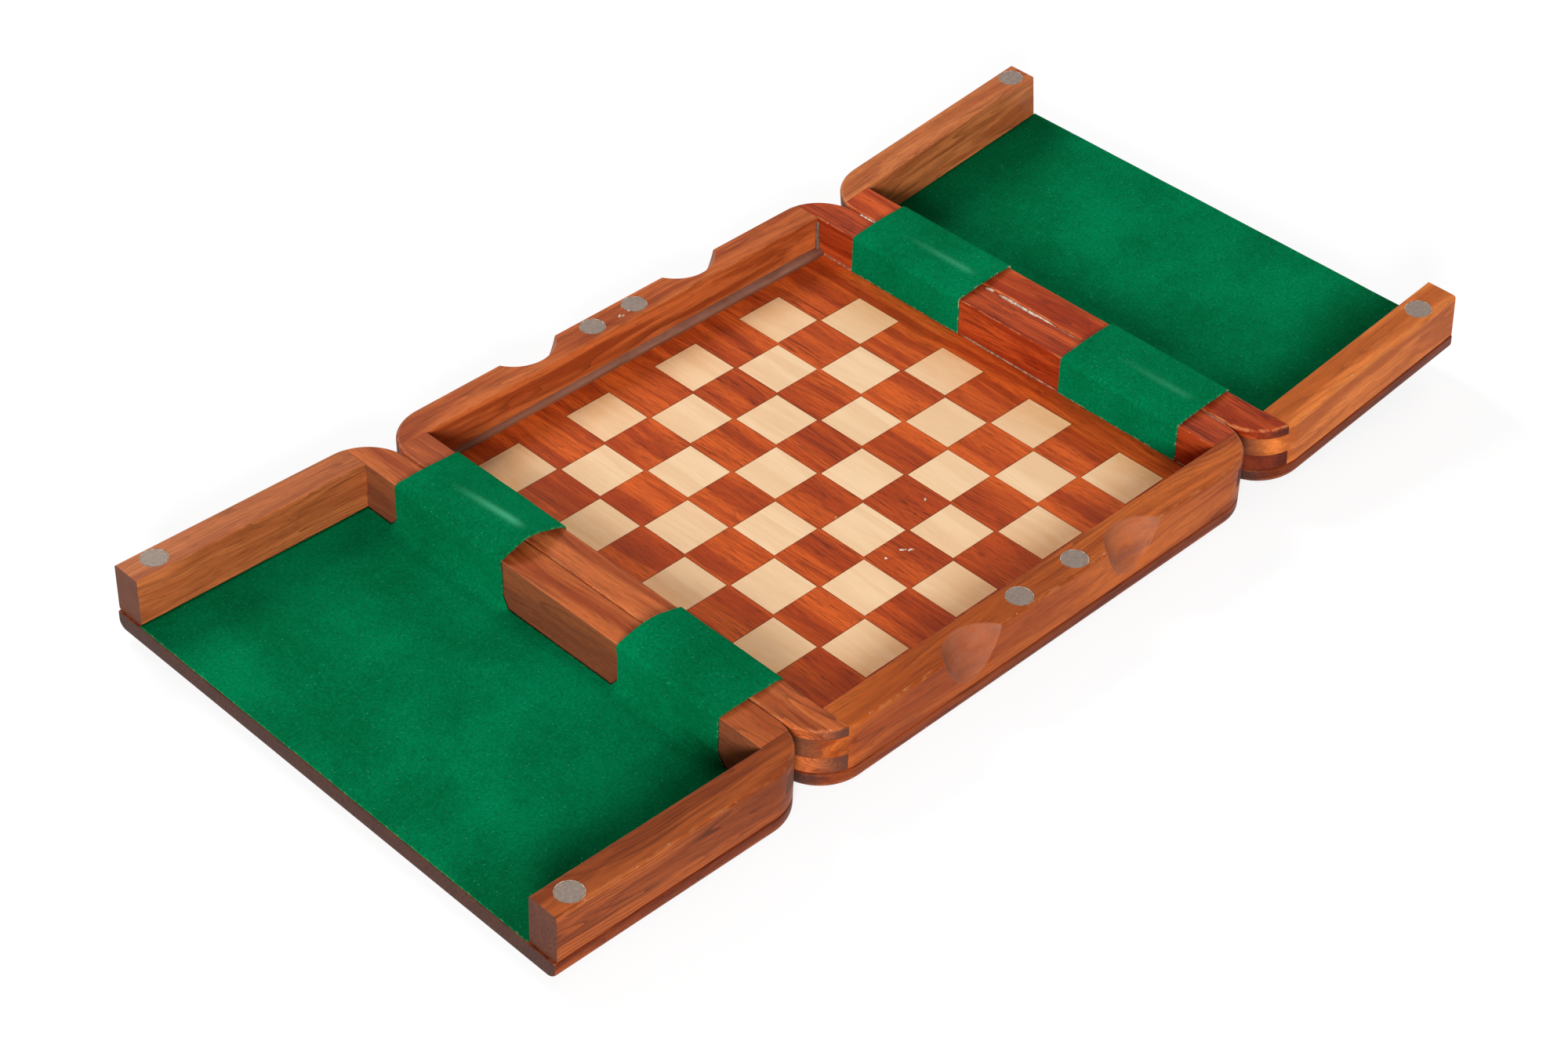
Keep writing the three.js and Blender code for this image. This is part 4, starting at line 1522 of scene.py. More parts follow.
@dataclass
class Trimmings:
    """What the maker left behind: dried glue, loose threads, and chips in the varnish."""

    workshop: Workshop
    box: BoxSizes
    glue: GlueFinish = GlueFinish()
    dusty: GlueFinish = GlueFinish("dusty_glue", tone="b98f78", dust="7d5644")
    grimy: GlueFinish = GlueFinish("grimy_glue", tone="86695b", dust="574035")
    threads: GlueFinish = GlueFinish("backing_threads", "green_velvet", "b9c3a0", "5f9f7c")
    fray_limit: float = 0.5
    board_chips: Sequence[tuple[float, float]] = (
        (-7.3, -39.6), (-6.6, -40.2), (-5.9, -41.1), (-5.3, -41.3), (-13.1, -39.1),
        (13.3, -28.9), (-10.6, -17.2),
    )
    rail_chips: Sequence[tuple[float, float]] = ((-1.2, 82.5), (2.6, 82.6), (-0.4, 81.9))

    def along(
        self, name: str, lines: Sequence[Sequence[Vector]], recipe: Recipe, values: Mapping,
        finish: Finish, body: str = "tray",
    ) -> None:
        """Grow something along lines, and hand the result to the frame.

        Args:
            name: the piece's name.
            lines: the lines' points, in millimetres.
            recipe: what grows along them.
            values: a value for each input of the recipe but Finish.
            finish: the piece's finish.
            body: the body that it rides on.
        """
        points, edges = [], []
        for line in lines:
            edges += [(len(points) + i, len(points) + i + 1) for i in range(len(line) - 1)]
            points += [point * MM for point in line]
        piece = self.workshop.put(name, plain_mesh(name, points, edges))
        recipe.grow(piece, {**values, "Finish": self.workshop.finish_of(finish)})
        self.workshop.hand_over(piece, finish, body)

    def glue_runs(self) -> list[GlueRun]:
        """The glue at the right rail's foot, in the far right corner, and in the right hinge's seam."""
        x, y = (opening - self.box.seam for opening in self.box.opening)
        board, top, outer = self.box.playing_height, self.box.height, self.box.half

        def level(x: float, z: float, *spans: tuple[float, float]) -> list[list[Vector]]:
            return [[Vector((x, start, z)), Vector((x, stop, z))] for start, stop in spans]

        foot = level(x, board + 0.12, (62.9, y), (-21.4, 18.4), (-y, -66.3))
        corner = [[Vector((x - 0.3, y - 0.3, board)), Vector((x - 0.25, y - 0.3, top - 1.2))]]
        seam = level(outer - 0.30, top - 0.12, (63.1, 71.0), (14.6, 17.8), (-10.0, 12.6))
        thin = level(outer - 0.95, top, (14.4, 17.8), (-3.0, 12.4))
        dust = level(outer - 0.42, top - 0.26, (-75.0, -66.0), (-18.0, -10.0))
        return [
            GlueRun("foot_glue", foot, 0.26, self.dusty, 0.55, 0.5, 3.0),
            GlueRun("corner_glue", corner, 0.6, self.grimy, 0.35, 0.6, 9.0),
            GlueRun("seam_glue", seam, 0.26, self.glue),
            GlueRun("thin_seam_glue", thin, 0.13, self.glue),
            GlueRun("seam_dust", dust, 0.20, self.dusty),
        ]

    def make(self, cloths: Sequence["DoorCloth"]) -> None:
        """Make the glue, the threads of the more frayed cloths, and the chips."""
        bead, loose, flakes = glue_bead(), loose_threads(), varnish_chips()
        for run in self.glue_runs():
            values = {"Radius": run.radius * MM, "Lumps": run.lumps, "Step": run.step * MM}
            self.along(run.name, run.lines, bead, {**values, "Seed": run.seed}, run.finish)
        values = {"Step": 0.0007, "Length": 0.0009, "Thickness": 0.00006, "Seed": 7}
        for cloth in (c for c in cloths if c.frayed > self.fray_limit):
            for body, lines in cloth.cut_edges().items():
                self.along(f"{body}_{cloth.side.value}_threads", lines, loose, values, self.threads, body)
        chips = [[Vector((x, y, self.box.playing_height))] for x, y in self.board_chips]
        chips += [[Vector((x, y, self.box.height))] for x, y in self.rail_chips]
        self.along("varnish_chips", chips, flakes, {"Size": 0.00075, "Seed": 4}, self.glue)


# ---------------- velvet


@dataclass(frozen=True)
class StrapCut:
    """One strap of a lining: its stretch along the hinge, its bow at both edges, and its crease, whose depth
    also sets the painted highlight along it.
    """

    start: float
    stop: float
    bow_start: float
    bow_stop: float
    crease: float

    def bow_at(self, y: float) -> float:
        """Height of the bow at a place between the strap's edges."""
        t = (y - self.start) / (self.stop - self.start)
        return self.bow_start + (self.bow_stop - self.bow_start) * smooth(t)


@dataclass
class DoorCloth:
    """A door's velvet lining, cut in one piece with the two straps that hang the door."""

    box: BoxSizes
    side: Side
    straps: Sequence[StrapCut]
    thickness: float = 0.6
    cove: float = 3.6
    flare: float = 2.6
    floor_height: float = 5.6
    free_edge: float = 88.3
    wall: float = 11.3
    fine_from: float = 26.0
    column_gap: float = 1.3
    full_bow: float = 3.3
    rail_reach: float = 10.3
    crease_half: float = 1.1
    ridge: float = 0.3
    bolt: float = 60.0
    floor_steps: int = 46
    cove_steps: int = 22
    strap_steps: int = 84
    fold_half: float = 3.0
    rim: float = 0.14
    frayed: float = 0.5
    frayed_at_saw: float = 0.15
    slack_foot: float = 0.15
    # The next two fields set the painted shade on the lining beside the far and the near rail: how far it
    # reaches from each rail, and how dark it is there.
    rail_shade_reach: float = 40.0
    upright: Mapping[str, float] = field(default_factory=lambda: {"far": 0.5, "near": 1.0})
    arch: Sequence[tuple[float, float]] = (
        (0.0, 0.30), (0.12, 0.58), (0.28, 0.86), (0.45, 1.0), (0.62, 0.90), (0.80, 0.55), (1.0, 0.10),
    )

    def rail_shade_at(self, y: float) -> float:
        """Painted shade on the lining at a place along the hinge: none in the middle, growing towards the far
        and the near rail.
        """
        # The painted shade starts this far from the middle.
        brushed = self.box.opening[1] - self.box.seam - self.rail_shade_reach
        return self.upright["far" if y > 0 else "near"] * smooth((abs(y) - brushed) / self.rail_shade_reach)

    def place(self, d: float, h: float) -> Vector:
        """A point of the open door's section, from its way out from the hinge and its height when shut."""
        tilt, drop = math.radians(self.box.tilts[self.side]), h - self.box.hinge_height
        return Vector((
            d * math.cos(tilt) - drop * math.sin(tilt),
            self.box.hinge_height + d * math.sin(tilt) + drop * math.cos(tilt),
        ))

    def columns(self) -> list[float]:
        """Where the cloth's lines from the free edge to the tray lie along the hinge."""
        limit = self.box.opening[1] - self.box.seam
        fixed = sorted({-limit, limit, *[v for s in self.straps for v in (s.start, s.stop)]})
        lines = [fixed[0]]
        for start, stop in zip(fixed, fixed[1:]):
            count = max(2, round((stop - start) / self.column_gap))
            lines += [start + (stop - start) * step / count for step in range(1, count + 1)]
        rims = [v for s in self.straps for v in (s.start + self.rim, s.stop - self.rim)]
        return sorted(lines + rims)

    def strap_of(self, y: float) -> StrapCut | None:
        """The strap that a column belongs to, if any."""
        return next((s for s in self.straps if s.start - 1e-6 <= y <= s.stop + 1e-6), None)

    def crease_at(self, y: float) -> float:
        """How sharply the strap is creased along the hinge at a place: mostly towards its near edge."""
        strap = self.strap_of(y)
        if strap is None:
            return 0.0
        t = (y - strap.start) / (strap.stop - strap.start)
        return strap.crease * smooth((t - 0.06) / 0.14) * smooth((0.82 - t) / 0.6)

    def lift_at(self, y: float) -> float:
        """Radius of the cove at the hinge rail's foot: full under a strap, and fading beside it."""
        away = min(max(s.start - y, y - s.stop, 0.0) for s in self.straps)
        return self.slack_foot + (self.cove - self.slack_foot) * (1 - smooth(away / self.flare))

    def floor_line(self, y: float) -> list[Vector]:
        """A column's way over the panel and up the cove."""
        r = self.lift_at(y)
        start, fine, bend = self.free_edge, self.fine_from, self.wall + r
        flat = [(start + (fine - start) * step / self.floor_steps, self.floor_height)
                for step in range(self.floor_steps)]
        flat.insert(1, (start - self.rim, self.floor_height))
        length, arc = fine - bend, r * math.pi / 2
        for step in range(self.cove_steps + 1):
            gone = (length + arc) * step / self.cove_steps
            if gone <= length:
                flat.append((fine - gone, self.floor_height))
            else:
                angle = (gone - length) / r
                flat.append((bend - r * math.sin(angle), self.floor_height + r * (1 - math.cos(angle))))
        return [self.place(d, h) for d, h in flat]

    def strap_line(self, y: float) -> list[Vector]:
        """A column's way from the cove over both rails and down to the board."""
        bow = self.strap_of(y).bow_at(y)
        foot = self.floor_height + self.lift_at(y)
        top = self.box.height + 0.4
        lift, wall = min(bow / self.full_bow, 1.0), self.wall
        door = [
            (wall, foot), (wall, foot + 4), (wall + 0.1 * lift, top - 3.6),
            (wall + 0.45 * lift, top - 1.3), (wall - 0.22 + 0.75 * lift, top - 0.32 + 0.1 * bow),
        ]
        start, stop = self.place(self.rail_reach, top), Vector((-self.rail_reach, top))
        chord = stop - start
        over = Vector((-chord.y, chord.x)).normalized()
        over = over if over.y > 0 else -over
        points = [self.place(d, h) for d, h in door]
        points += [start + chord * t + over * bow * rise for t, rise in self.arch]
        points += [Vector(p) for p in (
            (-wall + 0.22, top - 0.30), (-wall, top - 1.3), (-wall, top - 4), (-wall, 12.5),
            (-wall, self.box.playing_height + 0.25),
        )]
        return self.resample(points, self.strap_steps)

    @staticmethod
    def resample(points: Sequence[Vector], steps: int) -> list[Vector]:
        """A smooth line through points, in equal steps."""
        padded = [2 * points[0] - points[1], *points, 2 * points[-1] - points[-2]]
        fine = []
        for a, b, c, d in zip(padded, padded[1:], padded[2:], padded[3:]):
            for i in range(12):
                t = i / 12
                fine.append(0.5 * (2 * b + (c - a) * t + (2 * a - 5 * b + 4 * c - d) * t * t
                                   + (3 * b - a - 3 * c + d) * t * t * t))
        fine.append(points[-1].copy())
        walked = [0.0]
        for a, b in zip(fine, fine[1:]):
            walked.append(walked[-1] + (b - a).length)
        targets = [walked[-1] * step / steps for step in range(steps + 1)]
        xs = np.interp(targets, walked, [p.x for p in fine])
        ys = np.interp(targets, walked, [p.y for p in fine])
        return [Vector(p) for p in zip(xs, ys)]

    def sway(self, walked: float, y: float) -> float:
        """How far the cloth lies off its even section: broad swells, with small puckers on them."""
        swell = noise.noise(Vector((walked * 0.05, y * 0.06, self.side.sign * 7.0))) * 0.16
        return swell + noise.noise(Vector((walked * 0.3, y * 0.22, self.side.sign * 3.0))) * 0.05

    def column(self, y: float) -> list[tuple]:
        """A column of the cloth, from the free edge on.

        Args:
            y: its place along the hinge.

        Returns:
            For each point its place in the box and its place on the flat cloth, how creased it is, which
            also sets its painted highlight, how frayed, and how much painted shade from the rails it gets.
        """
        line = self.floor_line(y)
        rows = len(line)
        if self.strap_of(y):
            line += self.strap_line(y)[1:]
        last, depth, walked, column = len(line) - 1, self.crease_at(y), 0.0, []
        edge = any(y in (strap.start, strap.stop) for strap in self.straps)
        for row, spot in enumerate(line):
            walked += (spot - line[row - 1]).length if row else 0.0
            fold = math.exp(-((spot.x / self.crease_half) ** 2)) * depth if row > rows else 0.0
            cut = row == last or (row >= rows and edge)
            run = line[min(row + 1, last)] - line[max(row - 1, 0)]
            normal = Vector((run.y, -run.x)).normalized() if run.length else Vector((0, 1))
            held = min(1.0, row / 3) if row < rows else min(1.0, (last - row) / 4)
            spot = spot + normal * (self.sway(walked, y) * held + self.ridge * fold)
            column.append((
                self.at(spot, y), (walked, y, self.side.sign * self.bolt), fold,
                self.frayed if cut else self.frayed_at_saw if row == 0 else 0.0,
                self.rail_shade_at(y) if row < rows else 0.0,
            ))
        return column

    def mesh(self) -> Mesh:
        """The cloth as one sheet without thickness, marked with its flat cut, its creases, its frayed edges
        and the painted shade beside the rails.
        """
        columns = [self.column(y) for y in self.columns()]
        faces, first = [], 0
        for here, there in zip(columns, columns[1:]):
            following = first + len(here)
            faces += [(first + r, first + r + 1, following + r + 1, following + r)
                      for r in range(min(len(here), len(there)) - 1)]
            first = following
        points, cloth, crease, rims, upright = zip(*(point for column in columns for point in column))
        mesh = plain_mesh(f"{self.side.value}_cloth", [p * MM for p in points], faces=faces)
        stamp(mesh, "cloth", "FLOAT_VECTOR", cloth)
        for name, values in (("crease", crease), ("rim", rims), ("upright", upright)):
            stamp(mesh, name, "FLOAT", values)
        work = bmesh.new()
        work.from_mesh(mesh)
        bmesh.ops.recalc_face_normals(work, faces=work.faces)
        if sum(f.normal.z * f.calc_area() for f in work.faces) < 0:
            bmesh.ops.reverse_faces(work, faces=work.faces)
        work.to_mesh(mesh)
        work.free()
        return mesh

    def cut_edges(self) -> dict[str, list[list[Vector]]]:
        """The straps' cut edges by body, but for what bends at the hinge or closes up as the door shuts."""
        door = f"{self.side.value}_door"
        under = self.box.height - 1.0
        lines: dict[str, list[list[Vector]]] = {"tray": [], door: []}
        for strap in self.straps:
            for y in (strap.start, strap.stop):
                spots = self.strap_line(y)
                for body, kept in (("tray", [p for p in spots if p.x < -self.fold_half]),
                                   (door, [p for p in spots if p.x > self.fold_half and p.y < under])):
                    lines[body].append([self.at(p, y) for p in kept])
            feet = (Vector((-self.wall - 0.15, self.box.playing_height + 0.3)),)
            lines["tray"].append([self.at(p, y) for p in feet for y in (strap.start, strap.stop)])
        return lines

    def at(self, spot: Vector, y: float) -> Vector:
        """A point of the box, from its way out from the hinge and its height, and its place along it."""
        return Vector((self.side.sign * (self.box.half + spot.x), y, spot.y))

    def cut_size(self) -> tuple[float, float, float]:
        """The cloth as it was cut, from the box's own sizes.

        Returns:
            Its width, its length from the saw cut to the board, and its area, in millimetres.
        """
        box = self.box
        width = 2 * (box.opening[1] - box.seam)
        lining = box.opening[0] - box.seam - box.saw_cut
        rails = 2 * (box.half - box.opening[0])
        strap = (box.height - box.foot) + rails + (box.height - box.playing_height)
        across = sum(cut.stop - cut.start for cut in self.straps)
        return width, lining + strap, width * lining + across * strap

    def make(self, workshop: Workshop) -> None:
        """Make the cloth, give it its thickness and its finish, and hide the CAD nodes that it replaces."""
        name, door = self.side.value, f"{self.side.value}_door"
        piece = workshop.put(f"{name}_velvet", self.mesh())
        solid = piece.modifiers.new("thickness", "SOLIDIFY")
        solid.thickness, solid.offset, solid.use_even_offset = self.thickness * MM, 0.0, False
        bpy.context.view_layer.update()
        workshop.settle(piece)
        piece.data.shade_smooth()
        nodes = [f"{name}_door_lining", *[f"hinge_strap_{name}_{end}" for end in ("far", "near")]]
        workshop.dress(piece, VelvetFinish(), nodes)
        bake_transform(piece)
        width, length, area = self.cut_size()
        LOG.info("%s: %.0f square centimetres of cloth", piece.name, area / 100)


# ---------------- sub-assemblies


@dataclass(frozen=True)
class RailPlan:
    """Which side of the box a rail is, how it ends, and what it is made of."""

    name: str
    quarter: int
    start: RailEnd
    stop: RailEnd
    finish: WoodFinish
    seed: int


@dataclass
class Magnets:
    """The disc magnets in the tops of a body's rails, each in a ring of glue."""

    box: BoxSizes
    radius: float = 3.75
    thickness: float = 3.0
    ring: float = 0.22
    pocket: float = 3.2
    sunk: float = 0.06

    def spots(self, nodes: Sequence[str], place: Matrix) -> list[Vector]:
        """The middles of a body's magnets, in the lid's or the tray's own millimetres."""
        middles = [(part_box(node)[0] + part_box(node)[1]) / 2 for node in nodes]
        return [place.inverted() @ middle for middle in middles]

    def pockets(self, spots: Sequence[Vector]) -> Mesh:
        """The holes that the magnets sit in."""
        reach, floor, above = self.radius + self.ring, self.box.height - self.pocket, self.box.height + 1
        outline = [(0.0, floor), (reach, floor), (reach, above), (0.0, above)]
        return joined([lathe("pocket", outline, Vector((s.x, s.y, 0))) for s in spots])

    def make(
        self, workshop: Workshop, nodes: Sequence[str], spots: Sequence[Vector], place: Matrix, body: str
    ) -> None:
        """Make a body's magnets and their glue, and hand them to the frame."""
        top, r = self.box.height - self.sunk, self.radius
        disc = [(0.0, top - 0.03), (r - 0.6, top), (r - 0.14, top), (r, top - 0.14),
                (r, top - self.thickness), (0.0, top - self.thickness)]
        glue = [(r + 0.01, top - 0.5), (r + 0.01, top - 0.10), (r + 0.08, top - 0.03),
                (r + 0.15, top - 0.03), (r + self.ring - 0.01, top - 0.12), (r + self.ring - 0.01, top - 0.5)]
        for name, outline, finish, stands_for in (
            ("magnets", disc, MagnetFinish(), nodes), ("magnet_glue", glue, GlueFinish(), []),
        ):
            mesh = joined([lathe(name, outline, Vector((s.x, s.y, 0))) for s in spots])
            shade(mesh, 30)
            mesh.transform(place)
            piece = workshop.put(f"{body}_{name}", mesh)
            workshop.hand_over(piece, finish, body, stands_for)


@dataclass(frozen=True)
class BoardPlan:
    """The board across a body's rails: its name, the CAD node that it stands for, and its plank."""

    name: str
    node: str
    seed: int


@dataclass
class BoxPart:
    """What the tray and the doors share: rails cut from one ring, a board across them, and magnets."""

    box: BoxSizes
    carcass: Carcass
    magnets: Magnets
    body = "tray"

    @property
    def place(self) -> Matrix:
        """The part's place in the row frame."""
        return self.box.tray_place()

    def dullness(self, plan: RailPlan) -> FaceRule:
        """Where a rail is drawn dull and dark."""
        return nowhere

    def assemble(
        self, workshop: Workshop, rails: Sequence[RailPlan], board: BoardPlan, discs: Sequence[str]
    ) -> None:
        """Make the wood and the magnets and hand them to the frame.

        Args:
            workshop: the workshop.
            rails: how each rail is cut from the ring.
            board: the board's plan.
            discs: the CAD nodes of the part's magnets.
        """
        door = self.body != "tray"
        film_and_painted_light = nowhere if door else self.carcass.film_on
        spots = self.magnets.spots(discs, self.place)
        ring = self.carcass.door_ring() if door else self.carcass.tray_ring()
        for plan in rails:
            name = f"{self.body.removesuffix('_door')}_{plan.name}_rail_wood"
            piece = workshop.put(name, ring.copy())
            workshop.carve(piece, self.carcass.comb(plan.quarter, plan.start, plan.stop), "INTERSECT")
            if plan.quarter % 2:
                workshop.carve(piece, self.magnets.pockets(spots), "DIFFERENCE")
            shade(piece.data)
            lumber = Lumber(self.carcass.axes(plan.quarter)[1], plan.seed)
            lumber.mark(piece.data, self.place, self.carcass.wear_and_highlight_at, self.dullness(plan), film_and_painted_light)
            workshop.hand_over(piece, plan.finish, self.body, [f"{self.body}_{plan.name}_rail"])
        plate = self.carcass.plate(door)
        shade(plate)
        Lumber(Vector((1, 0, 0)), board.seed).mark(plate, self.place, self.carcass.plate_bounce_light_at)
        workshop.hand_over(workshop.put(board.name, plate), PANEL, self.body, [board.node])
        self.magnets.make(workshop, discs, spots, self.place, self.body)


@dataclass
class Tray(BoxPart):
    """The lower half of the box, which carries the board."""

    bead: tuple[float, float] = (3.4, 1.5)
    bead_steps: int = 60
    bead_seat: float = 0.02
    rails: Sequence[RailPlan] = (
        RailPlan("right", 0, RailEnd.GUEST, RailEnd.OWNER, DEEP_RED, 11),
        RailPlan("far", 1, RailEnd.GUEST, RailEnd.OWNER, REDDISH, 22),
        RailPlan("left", 2, RailEnd.GUEST, RailEnd.OWNER, RUSSET, 33),
        RailPlan("near", 3, RailEnd.GUEST, RailEnd.OWNER, AMBER, 44),
    )

    def make(self, workshop: Workshop) -> None:
        """Make the tray and its beads."""
        discs = [f"tray_magnet_{end}_{side}" for end in ("far", "near") for side in ("left", "right")]
        board = BoardPlan("tray_bottom_wood", "tray_bottom_board", 55)
        self.assemble(workshop, self.rails, board, discs)
        self.make_beads(workshop)

    @staticmethod
    def dust_and_highlight_on_bead(middle: Vector, normal: Vector) -> float:
        """Dust and a painted highlight along a bead's crest: patchy, and thin towards its left end."""
        patch = 0.85 + 0.55 * noise.noise(Vector((middle.x * 0.07, 3.0, 0.0)))
        return min(1.0, patch * (0.4 + 0.5 * smooth((middle.x + 60) / 50))) * smooth(3 * normal.z - 1.8)

    def make_beads(self, workshop: Workshop) -> None:
        """Make the beads at the foot of the far and the near rail, which widen to the right."""
        width, height = self.bead
        reach = self.box.opening[0] - self.box.seam
        wall, base = self.box.opening[1] - self.bead_seat, self.box.playing_height + self.bead_seat
        quarter = [turn * math.pi / 20 for turn in range(11)]
        for name, side, seed in (("far", 1, 61), ("near", -1, 62)):
            sections = []
            for step in range(self.bead_steps + 1):
                t = step / self.bead_steps
                x = -reach + 2 * reach * t
                worn = 0.55 + 0.40 * smooth(t) + 0.05 * noise.noise(Vector((x * 0.08, seed, 0)))
                rise = height * (0.4 + 0.6 * worn)
                sections.append([Vector((x, side * wall, base))] + [
                    Vector((x, side * (wall - width * worn * math.cos(a)), base + rise * math.sin(a)))
                    for a in quarter
                ])
            mesh = loft(f"bead_{name}", sections)
            shade(mesh, 40)
            Lumber(Vector((1, 0, 0)), seed).mark(mesh, self.place, film_and_painted_light=self.dust_and_highlight_on_bead)
            workshop.hand_over(workshop.put(f"bead_{name}", mesh), BEADING, "tray", [f"tray_{name}_rail"])


@dataclass
class Door(BoxPart):
    """Half of the lid, which hangs beside the tray."""

    side: Side
    finishes: Mapping[str, WoodFinish]
    seed: int

    @property
    def body(self) -> str:
        """The door's body in the frame."""
        return f"{self.side.value}_door"

    @property
    def place(self) -> Matrix:
        """The door's place in the row frame, as it lies open."""
        return self.box.door_place(self.side)

    def make(self, workshop: Workshop) -> None:
        """Make the door."""
        first, last = ("near", "far") if self.side is Side.LEFT else ("far", "near")
        ends = (
            (first, RailEnd.SAWN, RailEnd.OWNER), ("hinge", RailEnd.GUEST, RailEnd.OWNER),
            (last, RailEnd.GUEST, RailEnd.SAWN),
        )
        rails = [
            RailPlan(name, quarter, start, stop, self.finishes[name], self.seed + quarter)
            for quarter, (name, start, stop) in enumerate(ends, start=1)
        ]
        board = BoardPlan(f"{self.side.value}_panel_wood", f"{self.body}_panel", self.seed)
        self.assemble(workshop, rails, board, [f"{self.body}_magnet_{end}" for end in ("far", "near")])

    def dullness(self, plan: RailPlan) -> FaceRule:
        """Where a hinge rail is drawn dull and dark: its lower fingers by the corners, as painted shade, and
        the left one's inner face.
        """
        bare = self.side is Side.LEFT
        face = -self.box.opening[0] - 0.1
        low = self.box.foot + self.carcass.low_finger
        corner = self.box.half - 0.6 * self.box.corner

        def rule(middle: Vector, normal: Vector) -> float:
            # The left door's inner face is drawn in the dull, dark tone.
            if bare and normal.x > 0.8 and middle.x > face:
                return 0.7
            # Painted shade on the lower fingers by the corners.
            return 0.75 if middle.z < low and abs(middle.y) > corner else 0.0

        return rule if plan.name == "hinge" else lambda middle, normal: 0.0


# ---------------- studio


@dataclass(frozen=True)
class SoftBox:
    """A square soft light, aimed at the box."""

    name: str
    place: tuple[float, float, float]
    size: float
    power: float


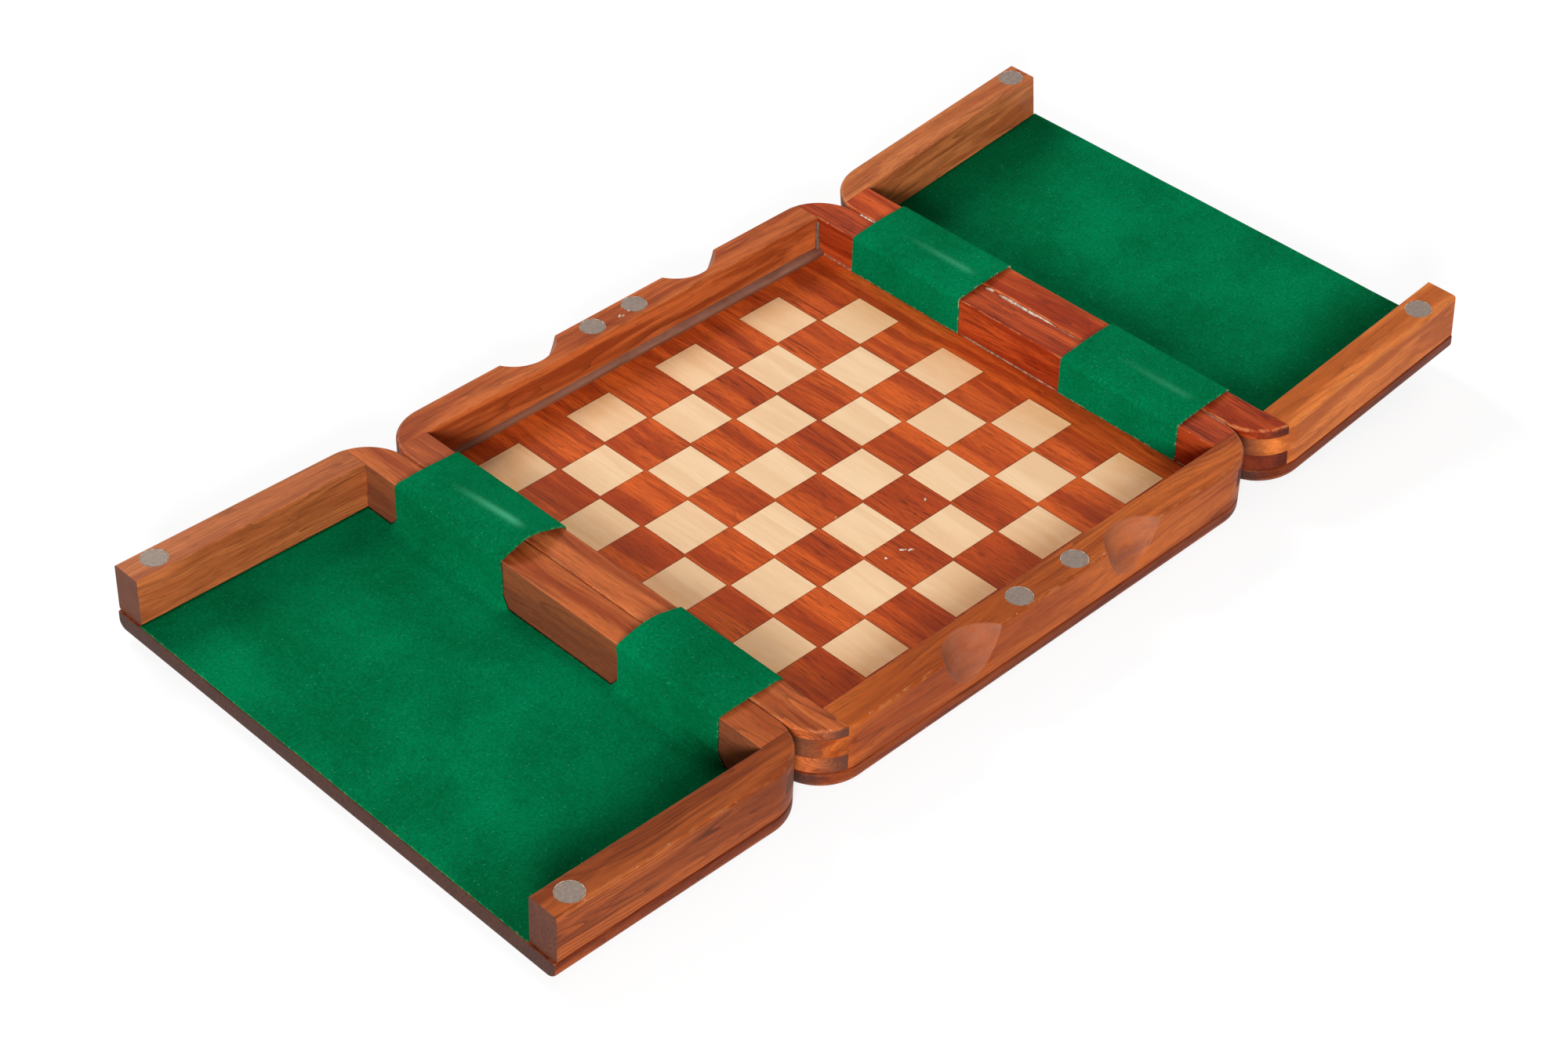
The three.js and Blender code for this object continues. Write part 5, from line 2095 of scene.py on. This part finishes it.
@dataclass
class Studio:
    """The floor, the lights and the camera."""

    boxes: Sequence[SoftBox] = (
        SoftBox("far_light", (0.15, 1.25, 1.00), 0.5, 13.0),
        SoftBox("left_light", (-1.12, -0.97, 0.60), 0.45, 25.5),
        SoftBox("right_light", (1.30, 0.10, 0.75), 0.9, 5.4),
    )
    fill: float = 0.18
    camera_place: tuple[float, float, float] = (-0.5033, -0.4873, 0.5708)
    camera_turn: tuple[float, float, float] = (50.363, -0.743, -44.513)
    lens: float = 72.62
    floor_half: float = 4.0

    def make(self) -> None:
        """Make the studio."""
        self.make_camera()
        self.make_world()
        for box in self.boxes:
            light = bpy.data.lights.new(box.name, "AREA")
            light.energy, light.size = box.power, box.size
            lamp = bpy.data.objects.new(box.name, light)
            lamp.location = box.place
            lamp.rotation_euler = (-Vector(box.place)).to_track_quat("-Z", "Y").to_euler()
            bpy.context.scene.collection.objects.link(lamp)
        self.make_floor()

    @staticmethod
    def seen(sketch: Sketch) -> bpy.types.NodeSocket:
        """Whether a ray shows the background, straight, mirrored or through glass."""
        rays = sketch.add("ShaderNodeLightPath").outputs
        seen = sketch.maths("MAXIMUM", rays["Is Camera Ray"], rays["Is Glossy Ray"])
        return sketch.maths("MAXIMUM", seen, rays["Is Transmission Ray"])

    def make_camera(self) -> None:
        """Put up the camera, looking down at the box from its near left corner."""
        lens = bpy.data.cameras.new("camera")
        lens.lens, lens.sensor_width, lens.clip_start = self.lens, 36.0, 0.01
        camera = bpy.data.objects.new("camera", lens)
        camera.location = self.camera_place
        camera.rotation_euler = [math.radians(a) for a in self.camera_turn]
        bpy.context.scene.collection.objects.link(camera)
        bpy.context.scene.camera = camera
        bpy.context.scene.view_settings.view_transform = "Standard"

    def make_world(self) -> None:
        """Light everything a little from all round, on a white background."""
        world = bpy.data.worlds.new("studio")
        world.use_nodes = True
        bpy.context.scene.world = world
        sketch = Sketch(world.node_tree)
        sketch.feed(world.node_tree.nodes["Background"], {
            "Color": (1, 1, 1, 1), "Strength": sketch.level(self.seen(sketch), self.fill, 1.0),
        })

    def make_floor(self) -> None:
        """Lay the pale floor, which shows white but for the box's soft shadow."""
        signs = ((-1, -1), (1, -1), (1, 1), (-1, 1))
        corners = [(x * self.floor_half, y * self.floor_half, 0) for x, y in signs]
        mesh = plain_mesh("floor", corners, faces=[(0, 1, 2, 3)])
        floor = bpy.data.objects.new("floor", mesh)
        bpy.context.scene.collection.objects.link(floor)
        material = bpy.data.materials.new("floor")
        material.use_nodes = True
        sketch = Sketch(material.node_tree)
        material.node_tree.nodes.clear()
        paper = sketch.get("ShaderNodeBsdfDiffuse", {"Color": (0.8, 0.8, 0.8, 1)})
        shown = sketch.get("ShaderNodeBsdfDiffuse", {"Color": (0.26, 0.26, 0.26, 1)})
        glow = sketch.get("ShaderNodeEmission", {"Color": (1, 1, 1, 1), "Strength": 0.80})
        both = sketch.get("ShaderNodeAddShader", {0: shown, 1: glow})
        look = sketch.get("ShaderNodeMixShader", {0: self.seen(sketch), 1: paper, 2: both})
        sketch.add("ShaderNodeOutputMaterial", {"Surface": look})
        mesh.materials.append(material)


def strap_cuts(side: Side, bows: Mapping[str, tuple[float, float, float]]) -> list[StrapCut]:
    """The two straps of a side, from the frame's stretches of them.

    Args:
        side: the side of the tray.
        bows: for each strap, how far it bows up at its near and its far edge, and its crease, with the
            painted highlight along it.

    Returns:
        The straps, the near one first.
    """
    cuts = []
    for end in ("near", "far"):
        lowest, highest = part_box(f"hinge_strap_{side.value}_{end}")
        cuts.append(StrapCut(lowest.y / MM, highest.y / MM, *bows[end]))
    return cuts


def main() -> None:
    """Build the box around its frame."""
    logging.basicConfig(level=logging.INFO, format="%(message)s")
    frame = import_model()
    Studio().make()
    box = BoxSizes.from_frame(frame)
    workshop, carcass, magnets = Workshop(), Carcass(box), Magnets(box)
    Tray(box, carcass, magnets).make(workshop)
    Chessboard(box).make(workshop)
    left_woods = {"far": ROSY, "near": UMBER, "hinge": REDDISH}
    right_woods = {"far": ROSY, "near": GOLDEN, "hinge": DEEP_RED}
    Door(box, carcass, magnets, Side.LEFT, left_woods, 70).make(workshop)
    Door(box, carcass, magnets, Side.RIGHT, right_woods, 80).make(workshop)
    # The third number of each strap is its crease, which also sets the painted highlight along it.
    bows = {
        Side.LEFT: {"near": (0.4, 2.4, 0.0), "far": (3.3, 0.4, 0.75)},
        Side.RIGHT: {"near": (0.4, 0.4, 0.25), "far": (0.5, 0.4, 0.4)},
    }
    frayed = {Side.LEFT: 0.2, Side.RIGHT: 0.8}
    # How dark the painted shade on each lining is beside its far and its near rail.
    upright = {Side.LEFT: {"far": 0.2, "near": 1.0}, Side.RIGHT: {"far": 0.9, "near": 0.9}}
    cloths = [
        DoorCloth(box, side, strap_cuts(side, bows[side]), frayed=frayed[side], upright=upright[side])
        for side in Side
    ]
    for cloth in cloths:
        cloth.make(workshop)
    Trimmings(workshop, box).make(cloths)
    LOG.info("pieces are all in place")


if __name__ == "__main__":
    main()
